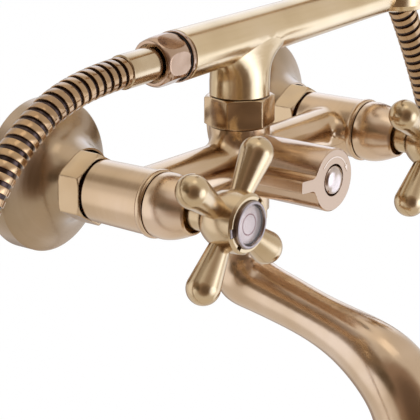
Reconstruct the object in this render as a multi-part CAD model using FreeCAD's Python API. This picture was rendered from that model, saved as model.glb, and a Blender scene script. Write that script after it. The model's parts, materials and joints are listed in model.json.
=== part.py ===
"""Two-handle wall-mounted bath mixer with a diverter, a swivel spout and a swivel shower arm.

Millimetres. X runs to the right as seen by the user, Y into the wall, Z up. The origin lies on the
face of the wall, midway between the two valve axes. Every separate piece is written as its own STEP file.
"""
import FreeCAD, Part
import math
import os

from FreeCAD import Placement, Rotation, Vector

os.makedirs("parts", exist_ok=True)

# Clearances
RUNNING_FIT = 0.05  # radial play of a shaft that turns in its bore
SEAT_GAP = 0.1  # between pieces that are screwed or pushed together
FREE_GAP = 0.35  # between curved faces that move past each other

# Valve axes and wall inlets
AXIS_SPACING = 150.0
UNION_OFFSET = 4.6  # how far the wall tails and rosettes sit to the right of the valve axes
TAIL_RADIUS = 10.48  # half inch pipe thread
TAIL_LENGTH = 15.0
TAIL_NECK_RADIUS = 10.0
UNION_CRANK_START = 3.0
UNION_CRANK_END = 14.0
UNION_CRANK_RADIUS = 12.2
UNION_PIPE_RADIUS = 7.6
UNION_FLANGE_RADIUS = 9.9
UNION_FLANGE_START = 31.0
UNION_FLANGE_END = 33.0
WATERWAY_RADIUS = 5.5
WASHER_THICKNESS = 2.2

# Rosettes
ROSETTE_RADIUS = 32.7
ROSETTE_RIM_DEPTH = 9.0
ROSETTE_DEPTH = 27.6
ROSETTE_NECK_RADIUS = 15.0
ROSETTE_WALL = 1.3
ROSETTE_EDGE = 0.7
ROSETTE_WEB = 2.9
ROSETTE_TAIL_GAP = 0.62

# Hexagon nuts
NUT_FLATS = 27.0
NUT_CHAMFER = 1.5
NUT_START = 28.0
NUT_END = 39.3
SIDE_NUT_TURN = 29.6
TOP_NUT_TURN = 16.7
THREAD_RADIUS = 10.2

# Valve barrels of the cast body
BARREL_START = 40.6
BARREL_REAR_RADIUS = 13.2
BARREL_FRONT_RADIUS = 13.6
SEAM = 72.5
BEAD_LENGTH = 3.3
BEAD_HEIGHT = 0.75
VALVE_BORE_RADIUS = 9.0
VALVE_SEAT = 50.0
COVER_THREAD_RADIUS = 11.2
COVER_THREAD_LENGTH = 3.5

# Middle of the cast body
CHAMBER_DEPTH = 55.0  # distance of the vertical axis from the wall
CHAMBER_RADIUS = 13.4
CHAMBER_TOP = 15.6
CHAMBER_BOTTOM = -22.0
CROSS_PIPE_RADIUS = 9.9
CROSS_BORE_RADIUS = 4.4
CHAMBER_FILLET = 8.0
BARREL_FILLET = 6.5
FILLET_ROOM = 14.0  # extra length that the blends are rolled on before the ends are cut
DIVERTER_DROP = 1.0
STUB_RADIUS = 13.67
STUB_STEP = 0.1  # how far the stub stands in front of the chamber
DIVERTER_BORE_RADIUS = 8.0
TOP_STUB_TOP = 25.6
SWIVEL_BORE_RADIUS = 8.0
SPOUT_BORE_RADIUS = 9.5
SPOUT_BORE_TOP = -10.0

# Bonnet covers
COVER_START = 72.9
COVER_END = 90.3
COVER_REAR_RADIUS = 13.4
COVER_BULGE_RADIUS = 13.7
COVER_OPENING_RADIUS = 8.5
COVER_LIP = 0.9
COVER_WALL = 1.5

# Valve headworks
HEAD_FLANGE_RADIUS = 10.9
HEAD_FLANGE_END = 79.5
HEAD_NECK_RADIUS = 5.2
HEAD_NECK_END = 88.0
HEAD_CAVITY_RADIUS = 7.4
HEAD_CAVITY_DEPTH = 7.2
DISC_RADIUS = 6.9
DISC_THICKNESS = 2.4
SEAT_RING_THICKNESS = 1.2
SPINDLE_RADIUS = 4.0
SPINDLE_FOOT_RADIUS = 5.6
SPINDLE_FOOT_HEIGHT = 1.8
SPINDLE_END = 104.0

# Cross handles
HANDLE_TURN = 54.0  # angle of the first arm from the horizontal at rest
SLEEVE_RADIUS = 7.0
SLEEVE_START = 82.0
SLEEVE_WALL = 1.4
HUB_BACK = 96.5
HUB_RADIUS = 12.7
HUB_FRONT = 116.8
HUB_FRONT_RADIUS = 12.2
ARM_PLANE = 107.2
ARM_REACH = 29.3  # from the valve axis to the middle of an arm's ball end
ARM_BALL_RADIUS = 7.0
ARM_BASE_RADIUS = 4.3
ARM_ROOT = 10.8
ARM_SPIGOT_RADIUS = 2.4
ARM_SPIGOT_START = 7.8
ARM_COUNT = 4
SCREW_RADIUS = 2.5
SCREW_HEAD_RADIUS = 4.6
SCREW_HEAD_HEIGHT = 3.6
SCREW_LENGTH = 11.0

# Index caps
CAP_RADIUS = 9.75
CAP_START = 111.2
CAP_FRONT = 118.2
CAP_RING_WIDTH = 1.55
CAP_LIP = 0.5
INDEX_DISC_THICKNESS = 1.2
CAP_TAB_REACH = 11.7
CAP_TAB_WIDTH = 3.6
CAP_TAB_HEIGHT = 2.2
CAP_TAB_TURN = 186.0
CAP_NOTCH_TURNS = (230.0, 50.0)

# Diverter knob
KNOB_RADIUS = 13.67
KNOB_GAP = 0.4  # between the stub and the knob
KNOB_LENGTH = 36.3
KNOB_EDGE = 0.6
FIN_REACH = 23.2
FIN_THICKNESS = 5.2
FIN_SETBACK = 3.5  # from the knob's rear face to the fin
FIN_TURN = 176.0
FIN_ROOT_FILLET = 3.0
KNOB_BORE_RADIUS = 7.0
KNOB_BORE_DEPTH = 6.0
STUD_RADIUS = 6.3
STUD_RECESS = 0.6  # how far the stud stays behind the knob's front
STUD_EDGE = 1.4
CARTRIDGE_FLANGE_RADIUS = 9.4
CARTRIDGE_FLANGE_HEIGHT = 2.0
CARTRIDGE_REACH = 3.0  # from the vertical axis to the cartridge's inner end
DIVERTER_SPINDLE_LENGTH = 34.0

# Shower arm
SOCKET_RADIUS = 13.14
SOCKET_BOTTOM = 29.4
SOCKET_STRAIGHT = 5.6
ARM_AXIS_HEIGHT = 54.3
ARM_RISE = 1.05  # degrees by which the arm climbs to the right
ARM_LEFT = 43.2
ARM_LEFT_RADIUS = 10.94
ARM_RIGHT_RADIUS = 8.9
ARM_TAIL_BOTTOM = 12.0
HOSE_THREAD_RADIUS = 9.3
HOSE_THREAD_LENGTH = 11.0
SPLIT_RING_HEIGHT = 1.5
SPLIT_RING_RADIUS = 9.8
TOP_NUT_TOP = 28.9
TOP_NUT_HEIGHT = 13.0

# Handset holder at the right end of the arm
HOLDER_DISTANCE = 122.5
HOLDER_RADIUS = 15.5
HOLDER_HALF_HEIGHT = 8.4
HOLDER_EDGE = 3.0
HANDSET_LEAN = 33.0  # degrees from the vertical, head towards the left
CONE_BOTTOM = -7.0
CONE_TOP = 30.0
CONE_SMALL_RADIUS = 7.7
CONE_LARGE_RADIUS = 11.3

# Hose connection at the left end of the arm
SEAL_RING_WIDTH = 2.8
SEAL_RING_RADIUS = 10.2
COLLAR_RING_RADIUS = 10.95
COLLAR_RING_WIDTH = 1.5
HOSE_NUT_FLATS = 19.8
HOSE_NUT_RADIUS = 11.0
HOSE_NUT_LENGTH = 14.2
HOSE_NUT_MOUTH_RADIUS = 8.2
FERRULE_FLANGE_RADIUS = 8.9
FERRULE_FLANGE_HEIGHT = 2.0
FERRULE_RADIUS = 7.2
FERRULE_END = 79.0  # distance of its free end from the swivel axis

# Hose
HOSE_DIAMETER = 13.2
HOSE_BORE_RADIUS = 4.0
HOSE_GROOVE_DEPTH = 0.9
HOSE_RIBS = 196
HOSE_LAND_SHARE = 0.62
HOSE_LEFT_RUN = 30.0
HOSE_RIGHT_RUN = 42.0
HOSE_HALF_WIDTH = 184.0
HOSE_DROP = 421.0  # how far the loop's lowest corner hangs below the valve axes

# Handset
HANDLE_THREAD_RADIUS = 8.3
HANDLE_THREAD_LENGTH = 10.0
HANDLE_WAIST_RADIUS = 8.6
HANDLE_GRIP_RADIUS = 10.8
HANDSET_HEAD_HEIGHT = 158.0
HANDSET_HEAD_RADIUS = 31.0
HANDSET_HEAD_DEPTH = 27.0
HANDSET_FACE_TILT = 20.0
HANDSET_HEAD_OFFSET = 14.0  # how far the head's middle stands in front of the handle's axis
SPRAY_PLATE_THICKNESS = 3.0
SPRAY_RIM = 2.5

# Spout
SPOUT_TOP_GAP = 0.5
SPOUT_COLLAR_RADIUS = 12.5
SPOUT_COLLAR_HEIGHT = 5.0
SPOUT_NECK_RADIUS = 11.8
SPOUT_MOUTH_RADIUS = 15.7
SPOUT_REACH = 94.5  # from the swivel axis to the middle of the mouth
SPOUT_DROP = 111.7  # from the valve axes down to the mouth
SPOUT_ORING_HEIGHT = 2.0
AERATOR_RADIUS = 12.0
AERATOR_DEPTH = 9.0
AERATOR_RING = 1.6
GRUB_RADIUS = 2.0
GRUB_DEPTH = 5.0

VALVE_X = AXIS_SPACING / 2
STUB_END = CHAMBER_DEPTH + CHAMBER_RADIUS + STUB_STEP
CARTRIDGE_START = CHAMBER_DEPTH + CARTRIDGE_REACH
DIVERTER_SPINDLE_END = CARTRIDGE_START + DIVERTER_SPINDLE_LENGTH
KNOB_START = STUB_END + KNOB_GAP
KNOB_FRONT = KNOB_START + KNOB_LENGTH
FIN_START = KNOB_START + FIN_SETBACK
STUD_FRONT = KNOB_FRONT - STUD_RECESS
OUT_OF_WALL = Rotation(Vector(1, 0, 0), 90)
UPRIGHT = Rotation()
SWIVEL_POINT = Vector(0, -CHAMBER_DEPTH, ARM_AXIS_HEIGHT)
ARM_DIRECTION = Vector(math.cos(math.radians(ARM_RISE)), 0, math.sin(math.radians(ARM_RISE)))
ARM_FRAME = Placement(SWIVEL_POINT, Rotation(Vector(0, 0, 1), ARM_DIRECTION))
SWIVEL_FRAME = Placement(Vector(0, -CHAMBER_DEPTH, 0), UPRIGHT)
DIVERTER_FRAME = Placement(Vector(0, 0, -DIVERTER_DROP), OUT_OF_WALL)
HOLDER_POINT = SWIVEL_POINT + ARM_DIRECTION * HOLDER_DISTANCE
HANDSET_FRAME = Placement(HOLDER_POINT, Rotation(Vector(0, 1, 0), -HANDSET_LEAN))
SIDES = (("left", -VALVE_X), ("right", VALVE_X))


def valve_frame(x):
    """Local Z runs out of the wall along the valve axis, local Y up."""
    return Placement(Vector(x, 0, 0), OUT_OF_WALL)


def placed(shape, frame):
    """A copy of a shape moved from its local frame into the mixer's."""
    moved = shape.copy()
    moved.Placement = frame.multiply(moved.Placement)
    return moved


def save(name, shape):
    shape.exportStep("parts/" + name + ".step")
    print(name, "volume", round(shape.Volume))


def turned(points, curve=None):
    """A solid turned about local Z from (height, radius) points.

    curve gives the first and last index of a stretch of the points that is one smooth line.
    """
    places = [Vector(radius, 0, height) for height, radius in points]
    edges = []
    index = 0
    while index < len(places) - 1:
        if curve and index == curve[0]:
            smooth = Part.BSplineCurve()
            smooth.interpolate(places[curve[0]:curve[1] + 1])
            edges.append(smooth.toShape())
            index = curve[1]
        else:
            edges.append(Part.LineSegment(places[index], places[index + 1]).toShape())
            index += 1
    edges.append(Part.LineSegment(places[-1], places[0]).toShape())
    face = Part.Face(Part.Wire(edges))
    return face.revolve(Vector(0, 0, 0), Vector(0, 0, 1), 360)


def rod(radius, start, end, end_radius=None):
    """A cylinder, or a cone, along local Z."""
    if end_radius is None:
        return Part.makeCylinder(radius, end - start, Vector(0, 0, start))
    return Part.makeCone(radius, end_radius, end - start, Vector(0, 0, start))


def ring(outer, inner, start, end):
    return rod(outer, start, end).cut(rod(inner, start, end))


def hexagon(flats, start, end, turn):
    """A hexagon prism with its corners rounded off by a cone at both ends."""
    corner = flats / math.sqrt(3)
    angles = [math.radians(turn + 60 * k) for k in range(7)]
    wire = Part.makePolygon([Vector(corner * math.cos(a), corner * math.sin(a), start) for a in angles])
    prism = Part.Face(wire).extrude(Vector(0, 0, end - start))
    slope = NUT_CHAMFER * math.tan(math.radians(30))
    small = corner - NUT_CHAMFER
    envelope = turned([
        (start, 0), (start, small), (start + slope, corner), (end - slope, corner), (end, small), (end, 0),
    ])
    return prism.common(envelope)


def s_union():
    """The cranked tube from the wall pipe to the union nut, with the flange that the nut pulls on."""
    aside = Vector(UNION_OFFSET, 0, 0)
    tail = Part.makeCylinder(TAIL_RADIUS, TAIL_LENGTH, aside - Vector(0, 0, TAIL_LENGTH))
    neck = Part.makeCylinder(TAIL_NECK_RADIUS, UNION_CRANK_START, aside)
    low = Part.Wire(Part.makeCircle(UNION_CRANK_RADIUS, aside + Vector(0, 0, UNION_CRANK_START)))
    high = Part.Wire(Part.makeCircle(UNION_PIPE_RADIUS, Vector(0, 0, UNION_CRANK_END)))
    crank = Part.makeLoft([low, high], True, True)
    pipe = rod(UNION_PIPE_RADIUS, UNION_CRANK_END, UNION_FLANGE_START)
    flange = rod(UNION_FLANGE_RADIUS, UNION_FLANGE_START, UNION_FLANGE_END)
    solid = tail.fuse([neck, crank, pipe, flange])
    wall_bore = Part.makeCylinder(
        WATERWAY_RADIUS, TAIL_LENGTH + UNION_CRANK_START, aside - Vector(0, 0, TAIL_LENGTH))
    bore_low = Part.Wire(Part.makeCircle(WATERWAY_RADIUS, aside + Vector(0, 0, UNION_CRANK_START)))
    bore_high = Part.Wire(Part.makeCircle(WATERWAY_RADIUS, Vector(0, 0, UNION_CRANK_END)))
    bore_crank = Part.makeLoft([bore_low, bore_high], True, True)
    bore_end = rod(WATERWAY_RADIUS, UNION_CRANK_END, UNION_FLANGE_END)
    return solid.cut(wall_bore.fuse([bore_crank, bore_end])).removeSplitter()


def rosette():
    """The bell-shaped cover plate, with the web that holds it on the wall tail."""
    span = ROSETTE_RADIUS - ROSETTE_EDGE - ROSETTE_NECK_RADIUS
    rise = ROSETTE_DEPTH - ROSETTE_RIM_DEPTH - ROSETTE_EDGE
    wall = ROSETTE_WALL
    sweep = [
        (ROSETTE_DEPTH - rise * (1 - along), ROSETTE_NECK_RADIUS + span * across)
        for along, across in ((0, 1), (0.14, 0.73), (0.31, 0.43), (0.52, 0.20), (0.76, 0.07), (1, 0))
    ]
    inside = [(height - wall, radius - 0.6 * wall) for height, radius in sweep]
    shell = turned(
        [(0, 0), (0, ROSETTE_RADIUS), (ROSETTE_RIM_DEPTH, ROSETTE_RADIUS)] + sweep + [(ROSETTE_DEPTH, 0)],
        (3, 8))
    hollow = turned(
        [(0, 0), (0, ROSETTE_RADIUS - wall), (ROSETTE_RIM_DEPTH - wall, ROSETTE_RADIUS - wall)] + inside
        + [(ROSETTE_DEPTH, ROSETTE_NECK_RADIUS - 0.6 * wall), (ROSETTE_DEPTH, 0)], (3, 8))
    web = rod(ROSETTE_RADIUS - wall / 2, 0, ROSETTE_WEB)
    tail = rod(TAIL_RADIUS + ROSETTE_TAIL_GAP, 0, ROSETTE_WEB)
    return shell.cut(hollow).fuse(web).cut(tail).removeSplitter()


def union_nut():
    """The hexagon nut between S-union and barrel, with its inner shoulder at the wall side."""
    solid = hexagon(NUT_FLATS, NUT_START, NUT_END, SIDE_NUT_TURN)
    thread = rod(THREAD_RADIUS + SEAT_GAP, UNION_FLANGE_START - SEAT_GAP, NUT_END)
    neck = rod(UNION_PIPE_RADIUS + SEAT_GAP, NUT_START, UNION_FLANGE_START)
    return solid.cut(thread.fuse(neck))


def union_washer():
    start = UNION_FLANGE_END
    return ring(UNION_FLANGE_RADIUS, WATERWAY_RADIUS, start, start + WASHER_THICKNESS)


def barrel_taper(distance):
    """The barrel's radius at a distance from the wall."""
    share = (distance - BARREL_START) / (SEAM - BEAD_LENGTH - BARREL_START)
    return BARREL_REAR_RADIUS + share * (BARREL_FRONT_RADIUS - BARREL_REAR_RADIUS)


def barrel_front():
    """The bead at the barrel's front and the thread for the cover."""
    bead = SEAM - BEAD_LENGTH
    return turned([
        (bead, 0), (bead, BARREL_FRONT_RADIUS),
        (bead + 0.2 * BEAD_LENGTH, BARREL_FRONT_RADIUS + 0.8 * BEAD_HEIGHT),
        (bead + 0.5 * BEAD_LENGTH, BARREL_FRONT_RADIUS + BEAD_HEIGHT),
        (bead + 0.8 * BEAD_LENGTH, BARREL_FRONT_RADIUS + 0.8 * BEAD_HEIGHT),
        (SEAM, BARREL_FRONT_RADIUS),
        (SEAM, COVER_THREAD_RADIUS),
        (SEAM + COVER_THREAD_LENGTH, COVER_THREAD_RADIUS),
        (SEAM + COVER_THREAD_LENGTH, 0),
    ], (1, 5))


def blended_core():
    """Cross pipes, chamber and barrels with their wide blends.

    The chamber and the barrels are made too long, so that the blends roll out in full, and are then cut.
    """
    core = Part.makeCylinder(
        CROSS_PIPE_RADIUS, AXIS_SPACING, Vector(-VALVE_X, -CHAMBER_DEPTH, 0), Vector(1, 0, 0))
    chamber = rod(CHAMBER_RADIUS, CHAMBER_BOTTOM - FILLET_ROOM, CHAMBER_TOP + FILLET_ROOM)
    core = core.fuse(placed(chamber, SWIVEL_FRAME))
    joints = [edge for edge in core.Edges if isinstance(edge.Curve, Part.BSplineCurve)]
    core = core.makeFillet(CHAMBER_FILLET, joints)
    start = BARREL_START - FILLET_ROOM
    end = SEAM - BEAD_LENGTH + FILLET_ROOM
    for _, x in SIDES:
        barrel = placed(rod(barrel_taper(start), start, end, barrel_taper(end)), valve_frame(x))
        core = core.fuse(barrel)
        curves = [edge for edge in core.Edges if isinstance(edge.Curve, Part.BSplineCurve)]
        joints = [edge for edge in curves if abs(edge.CenterOfMass.x - x) < BARREL_FRONT_RADIUS]
        core = core.makeFillet(BARREL_FILLET, joints)
    reach = 2 * AXIS_SPACING
    keep = Part.makeBox(
        reach, SEAM - BEAD_LENGTH - BARREL_START, CHAMBER_TOP - CHAMBER_BOTTOM,
        Vector(-reach / 2, -SEAM + BEAD_LENGTH, CHAMBER_BOTTOM))
    return core.common(keep)


def body_casting():
    """The cast body: two barrels, the cross pipes, the middle chamber and the diverter stub."""
    solid = blended_core()
    thread_start = UNION_FLANGE_END + WASHER_THICKNESS
    additions = [
        placed(rod(STUB_RADIUS, CHAMBER_DEPTH, STUB_END), DIVERTER_FRAME),
        placed(rod(THREAD_RADIUS, CHAMBER_TOP - 1, TOP_STUB_TOP), SWIVEL_FRAME),
    ]
    for _, x in SIDES:
        additions.append(placed(barrel_front(), valve_frame(x)))
        additions.append(placed(rod(THREAD_RADIUS, thread_start, BARREL_START + 1), valve_frame(x)))
    for addition in additions:
        solid = solid.fuse(addition)
    cuts = [
        Part.makeCylinder(
            CROSS_BORE_RADIUS, AXIS_SPACING, Vector(-VALVE_X, -CHAMBER_DEPTH, 0), Vector(1, 0, 0)),
        placed(rod(SWIVEL_BORE_RADIUS, SPOUT_BORE_TOP, TOP_STUB_TOP), SWIVEL_FRAME),
        placed(rod(SPOUT_BORE_RADIUS, CHAMBER_BOTTOM, SPOUT_BORE_TOP), SWIVEL_FRAME),
        placed(rod(DIVERTER_BORE_RADIUS, CARTRIDGE_START - 1, STUB_END), DIVERTER_FRAME),
        grub_hole(),
    ]
    for _, x in SIDES:
        cuts.append(placed(rod(WATERWAY_RADIUS, thread_start, VALVE_SEAT), valve_frame(x)))
        cuts.append(placed(rod(VALVE_BORE_RADIUS, VALVE_SEAT, SEAM + COVER_THREAD_LENGTH), valve_frame(x)))
    for cut in cuts:
        solid = solid.cut(cut)
    return solid


def grub_height():
    """The height of the screw that keeps the spout in its socket."""
    return CHAMBER_BOTTOM + GRUB_DEPTH


def grub_hole():
    start = Vector(0, -CHAMBER_DEPTH + SPOUT_BORE_RADIUS - 1, grub_height())
    return Part.makeCylinder(GRUB_RADIUS, CHAMBER_RADIUS, start, Vector(0, 1, 0))


def spout_screw():
    """The grub screw at the back of the spout socket, with its hexagon socket."""
    back = CHAMBER_RADIUS - 0.3
    start = Vector(0, -CHAMBER_DEPTH + SPOUT_BORE_RADIUS, grub_height())
    body = Part.makeCylinder(GRUB_RADIUS - SEAT_GAP, back - SPOUT_BORE_RADIUS, start, Vector(0, 1, 0))
    tip_end = Vector(0, -CHAMBER_DEPTH + SPOUT_BORE_RADIUS - 1.1, grub_height())
    tip = Part.makeCylinder(GRUB_RADIUS * 0.55, 1.3, tip_end, Vector(0, 1, 0))
    key_end = Vector(0, -CHAMBER_DEPTH + back - 1.5, grub_height())
    key = Part.makeCylinder(GRUB_RADIUS * 0.5, 1.6, key_end, Vector(0, 1, 0))
    return body.fuse(tip).cut(key)


def cover():
    """The domed bonnet cover with its open front."""
    rear = COVER_THREAD_RADIUS + SEAT_GAP
    length = COVER_END - COVER_START
    lip = COVER_OPENING_RADIUS + COVER_LIP
    outer = [
        (COVER_START, COVER_REAR_RADIUS),
        (COVER_START + 0.18 * length, COVER_BULGE_RADIUS),
        (COVER_START + 0.42 * length, COVER_BULGE_RADIUS - 0.5),
        (COVER_START + 0.72 * length, COVER_BULGE_RADIUS - 2.2),
        (COVER_END - 0.6, lip + 0.25),
    ]
    shell = turned([(COVER_START, rear)] + outer + [
        (COVER_END, lip - 0.4),
        (COVER_END, COVER_OPENING_RADIUS),
        (COVER_END - COVER_LIP, COVER_OPENING_RADIUS),
        (COVER_START + 0.72 * length, COVER_BULGE_RADIUS - 2.2 - COVER_WALL),
        (COVER_START + 0.42 * length, rear),
    ], (1, 5))
    return shell


def headwork():
    """The screwed-in valve body that guides the spindle."""
    start = VALVE_SEAT + SEAT_RING_THICKNESS
    cavity_end = start + HEAD_CAVITY_DEPTH
    outer = VALVE_BORE_RADIUS - SEAT_GAP
    flange = SEAM + COVER_THREAD_LENGTH
    bore = SPINDLE_RADIUS + RUNNING_FIT
    return turned([
        (start, HEAD_CAVITY_RADIUS), (start, outer), (flange, outer), (flange, HEAD_FLANGE_RADIUS),
        (HEAD_FLANGE_END, HEAD_FLANGE_RADIUS), (HEAD_FLANGE_END, HEAD_NECK_RADIUS),
        (HEAD_NECK_END, HEAD_NECK_RADIUS), (HEAD_NECK_END, bore), (cavity_end, bore),
        (cavity_end, HEAD_CAVITY_RADIUS),
    ])


def seat_ring():
    """The rubber ring that presses the fixed disc up against the moving one."""
    return ring(VALVE_BORE_RADIUS - SEAT_GAP, WATERWAY_RADIUS, VALVE_SEAT, VALVE_SEAT + SEAT_RING_THICKNESS)


def half_moon(radius, start, end):
    """The opening of a ceramic disc: a half circle, set in from the edge."""
    port = rod(radius, start, end)
    half = Part.makeBox(2 * radius, radius, end - start, Vector(-radius, 0.8, start))
    return port.common(half)


def fixed_disc():
    start = VALVE_SEAT + SEAT_RING_THICKNESS
    end = start + DISC_THICKNESS
    return rod(DISC_RADIUS + 0.4, start, end).cut(half_moon(WATERWAY_RADIUS, start, end))


def moving_disc():
    start = VALVE_SEAT + SEAT_RING_THICKNESS + DISC_THICKNESS + SEAT_GAP
    end = start + DISC_THICKNESS
    disc = rod(DISC_RADIUS, start, end)
    port = half_moon(WATERWAY_RADIUS, start, end)
    port.rotate(Vector(0, 0, 0), Vector(0, 0, 1), 180)
    return disc.cut(port)


def spindle():
    """The spindle: a foot on the moving disc, a plain shaft, and a threaded hole for the handle screw."""
    foot = VALVE_SEAT + SEAT_RING_THICKNESS + 2 * DISC_THICKNESS + SEAT_GAP
    shaft = rod(SPINDLE_RADIUS, foot, SPINDLE_END)
    base = rod(SPINDLE_FOOT_RADIUS, foot, foot + SPINDLE_FOOT_HEIGHT)
    hole = rod(SCREW_RADIUS + SEAT_GAP, SPINDLE_END - SCREW_LENGTH - 1, SPINDLE_END)
    return shaft.fuse(base).cut(hole)


def hub_outline():
    """The outside of the handle's hub, without the sleeve."""
    depth = ARM_PLANE - HUB_BACK
    return turned([
        (HUB_BACK, 0),
        (HUB_BACK, SLEEVE_RADIUS),
        (HUB_BACK + 0.25 * depth, SLEEVE_RADIUS + 2.6),
        (HUB_BACK + 0.6 * depth, HUB_RADIUS - 1.1),
        (ARM_PLANE, HUB_RADIUS - 0.1),
        (ARM_PLANE + 4, HUB_RADIUS),
        (HUB_FRONT - 1.2, HUB_FRONT_RADIUS + 0.15),
        (HUB_FRONT, HUB_FRONT_RADIUS - 0.9),
        (HUB_FRONT, 0),
    ], (1, 6))


def cap_slot(turn, width, reach):
    """A slot in the hub's front rim, from the cap's recess outwards."""
    slot = Part.makeBox(reach - CAP_RADIUS + 1, width, HUB_FRONT, Vector(CAP_RADIUS - 1, -width / 2, 0))
    slot.translate(Vector(0, 0, HUB_FRONT - CAP_TAB_HEIGHT))
    slot.rotate(Vector(0, 0, 0), Vector(0, 0, 1), turn)
    return slot


def handle_hub():
    """The hub with its sleeve, the bores for spindle, screw, arms and index cap."""
    sleeve = rod(SLEEVE_RADIUS, SLEEVE_START, HUB_BACK)
    solid = hub_outline().fuse(sleeve)
    cuts = [
        rod(SLEEVE_RADIUS - SLEEVE_WALL, SLEEVE_START, HEAD_NECK_END + 1),
        rod(SPINDLE_RADIUS + SEAT_GAP, SLEEVE_START, SPINDLE_END),
        rod(SCREW_HEAD_RADIUS + 0.5, SPINDLE_END, HUB_FRONT),
        rod(CAP_RADIUS + SEAT_GAP, CAP_START - SEAT_GAP, HUB_FRONT),
        cap_slot(CAP_TAB_TURN, CAP_TAB_WIDTH + 2 * SEAT_GAP, CAP_TAB_REACH + SEAT_GAP),
    ]
    cuts += [cap_slot(turn, CAP_TAB_WIDTH * 0.7, CAP_TAB_REACH - 0.4) for turn in CAP_NOTCH_TURNS]
    spigot_hole = rod(ARM_SPIGOT_RADIUS + SEAT_GAP, ARM_SPIGOT_START - SEAT_GAP, HUB_RADIUS + 1)
    cuts += [arm_place(spigot_hole, k) for k in range(ARM_COUNT)]
    for cut in cuts:
        solid = solid.cut(cut)
    return solid


def arm_place(shape, number):
    """Turns a shape made along local Z into arm number's direction across the valve axis."""
    angle = HANDLE_TURN + number * 360 / ARM_COUNT
    frame = Placement(Vector(0, 0, ARM_PLANE), Rotation(Vector(0, 0, 1), angle))
    lying = Placement(Vector(0, 0, 0), Rotation(Vector(0, 1, 0), 90))
    return placed(shape, frame.multiply(lying))


def handle_arm(number):
    """One pear-shaped arm: a cone that runs tangent into its ball end, and a spigot into the hub."""
    run = ARM_REACH - ARM_ROOT
    distance = math.hypot(run, ARM_BASE_RADIUS)
    slope = math.asin(ARM_BALL_RADIUS / distance) - math.atan2(ARM_BASE_RADIUS, run)
    touch_height = ARM_REACH - ARM_BALL_RADIUS * math.sin(slope)
    touch_radius = ARM_BALL_RADIUS * math.cos(slope)
    start = Vector(0, 0, ARM_ROOT)
    root = Vector(ARM_BASE_RADIUS, 0, ARM_ROOT)
    touch = Vector(touch_radius, 0, touch_height)
    bend = math.radians(50)
    on_ball = Vector(ARM_BALL_RADIUS * math.cos(bend), 0, ARM_REACH + ARM_BALL_RADIUS * math.sin(bend))
    tip = Vector(0, 0, ARM_REACH + ARM_BALL_RADIUS)
    edges = [
        Part.LineSegment(start, root).toShape(),
        Part.LineSegment(root, touch).toShape(),
        Part.Arc(touch, on_ball, tip).toShape(),
        Part.LineSegment(tip, start).toShape(),
    ]
    pear = Part.Face(Part.Wire(edges)).revolve(Vector(0, 0, 0), Vector(0, 0, 1), 360)
    arm = arm_place(pear, number).cut(hub_outline())
    spigot = arm_place(rod(ARM_SPIGOT_RADIUS, ARM_SPIGOT_START, ARM_ROOT + 3), number)
    return arm.fuse(spigot).removeSplitter()


def handle_screw():
    shank = rod(SCREW_RADIUS, SPINDLE_END - SCREW_LENGTH, SPINDLE_END)
    head = rod(SCREW_HEAD_RADIUS, SPINDLE_END, SPINDLE_END + SCREW_HEAD_HEIGHT)
    slot = Part.makeBox(
        2 * SCREW_HEAD_RADIUS, 1.2, 1.2,
        Vector(-SCREW_HEAD_RADIUS, -0.6, SPINDLE_END + SCREW_HEAD_HEIGHT - 1.2))
    return shank.fuse(head).cut(slot)


def cap_bezel():
    """The metal ring of the index cap, with the tab that snaps into the hub."""
    inner = CAP_RADIUS - CAP_RING_WIDTH
    body = turned([
        (CAP_START, inner + CAP_LIP), (CAP_START, CAP_RADIUS), (CAP_FRONT - 0.5, CAP_RADIUS),
        (CAP_FRONT, CAP_RADIUS - 0.5), (CAP_FRONT, inner + 0.3), (CAP_FRONT - 0.5, inner),
        (CAP_FRONT - 1.2, inner), (CAP_FRONT - 1.2, inner + CAP_LIP),
    ])
    tab = Part.makeBox(
        CAP_TAB_REACH - CAP_RADIUS + 0.5, CAP_TAB_WIDTH, CAP_TAB_HEIGHT - 0.4,
        Vector(CAP_RADIUS - 0.5, -CAP_TAB_WIDTH / 2, HUB_FRONT - CAP_TAB_HEIGHT + 0.2))
    tab.rotate(Vector(0, 0, 0), Vector(0, 0, 1), CAP_TAB_TURN)
    return body.fuse(tab)


def index_disc():
    radius = CAP_RADIUS - CAP_RING_WIDTH + CAP_LIP - SEAT_GAP
    return rod(radius, CAP_START + 0.6, CAP_START + 0.6 + INDEX_DISC_THICKNESS)


def index_lens():
    """The clear domed lens over the index disc."""
    base = CAP_START + 0.6 + INDEX_DISC_THICKNESS
    edge = CAP_RADIUS - CAP_RING_WIDTH + CAP_LIP - SEAT_GAP
    neck = CAP_RADIUS - CAP_RING_WIDTH - SEAT_GAP
    shoulder = CAP_FRONT - 1.2 - SEAT_GAP
    return turned([
        (base, 0), (base, edge), (shoulder, edge), (shoulder, neck), (CAP_FRONT - 0.9, neck),
        (CAP_FRONT - 0.3, neck * 0.75), (CAP_FRONT + 0.2, neck * 0.4), (CAP_FRONT + 0.35, 0),
    ], (4, 7))


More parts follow.
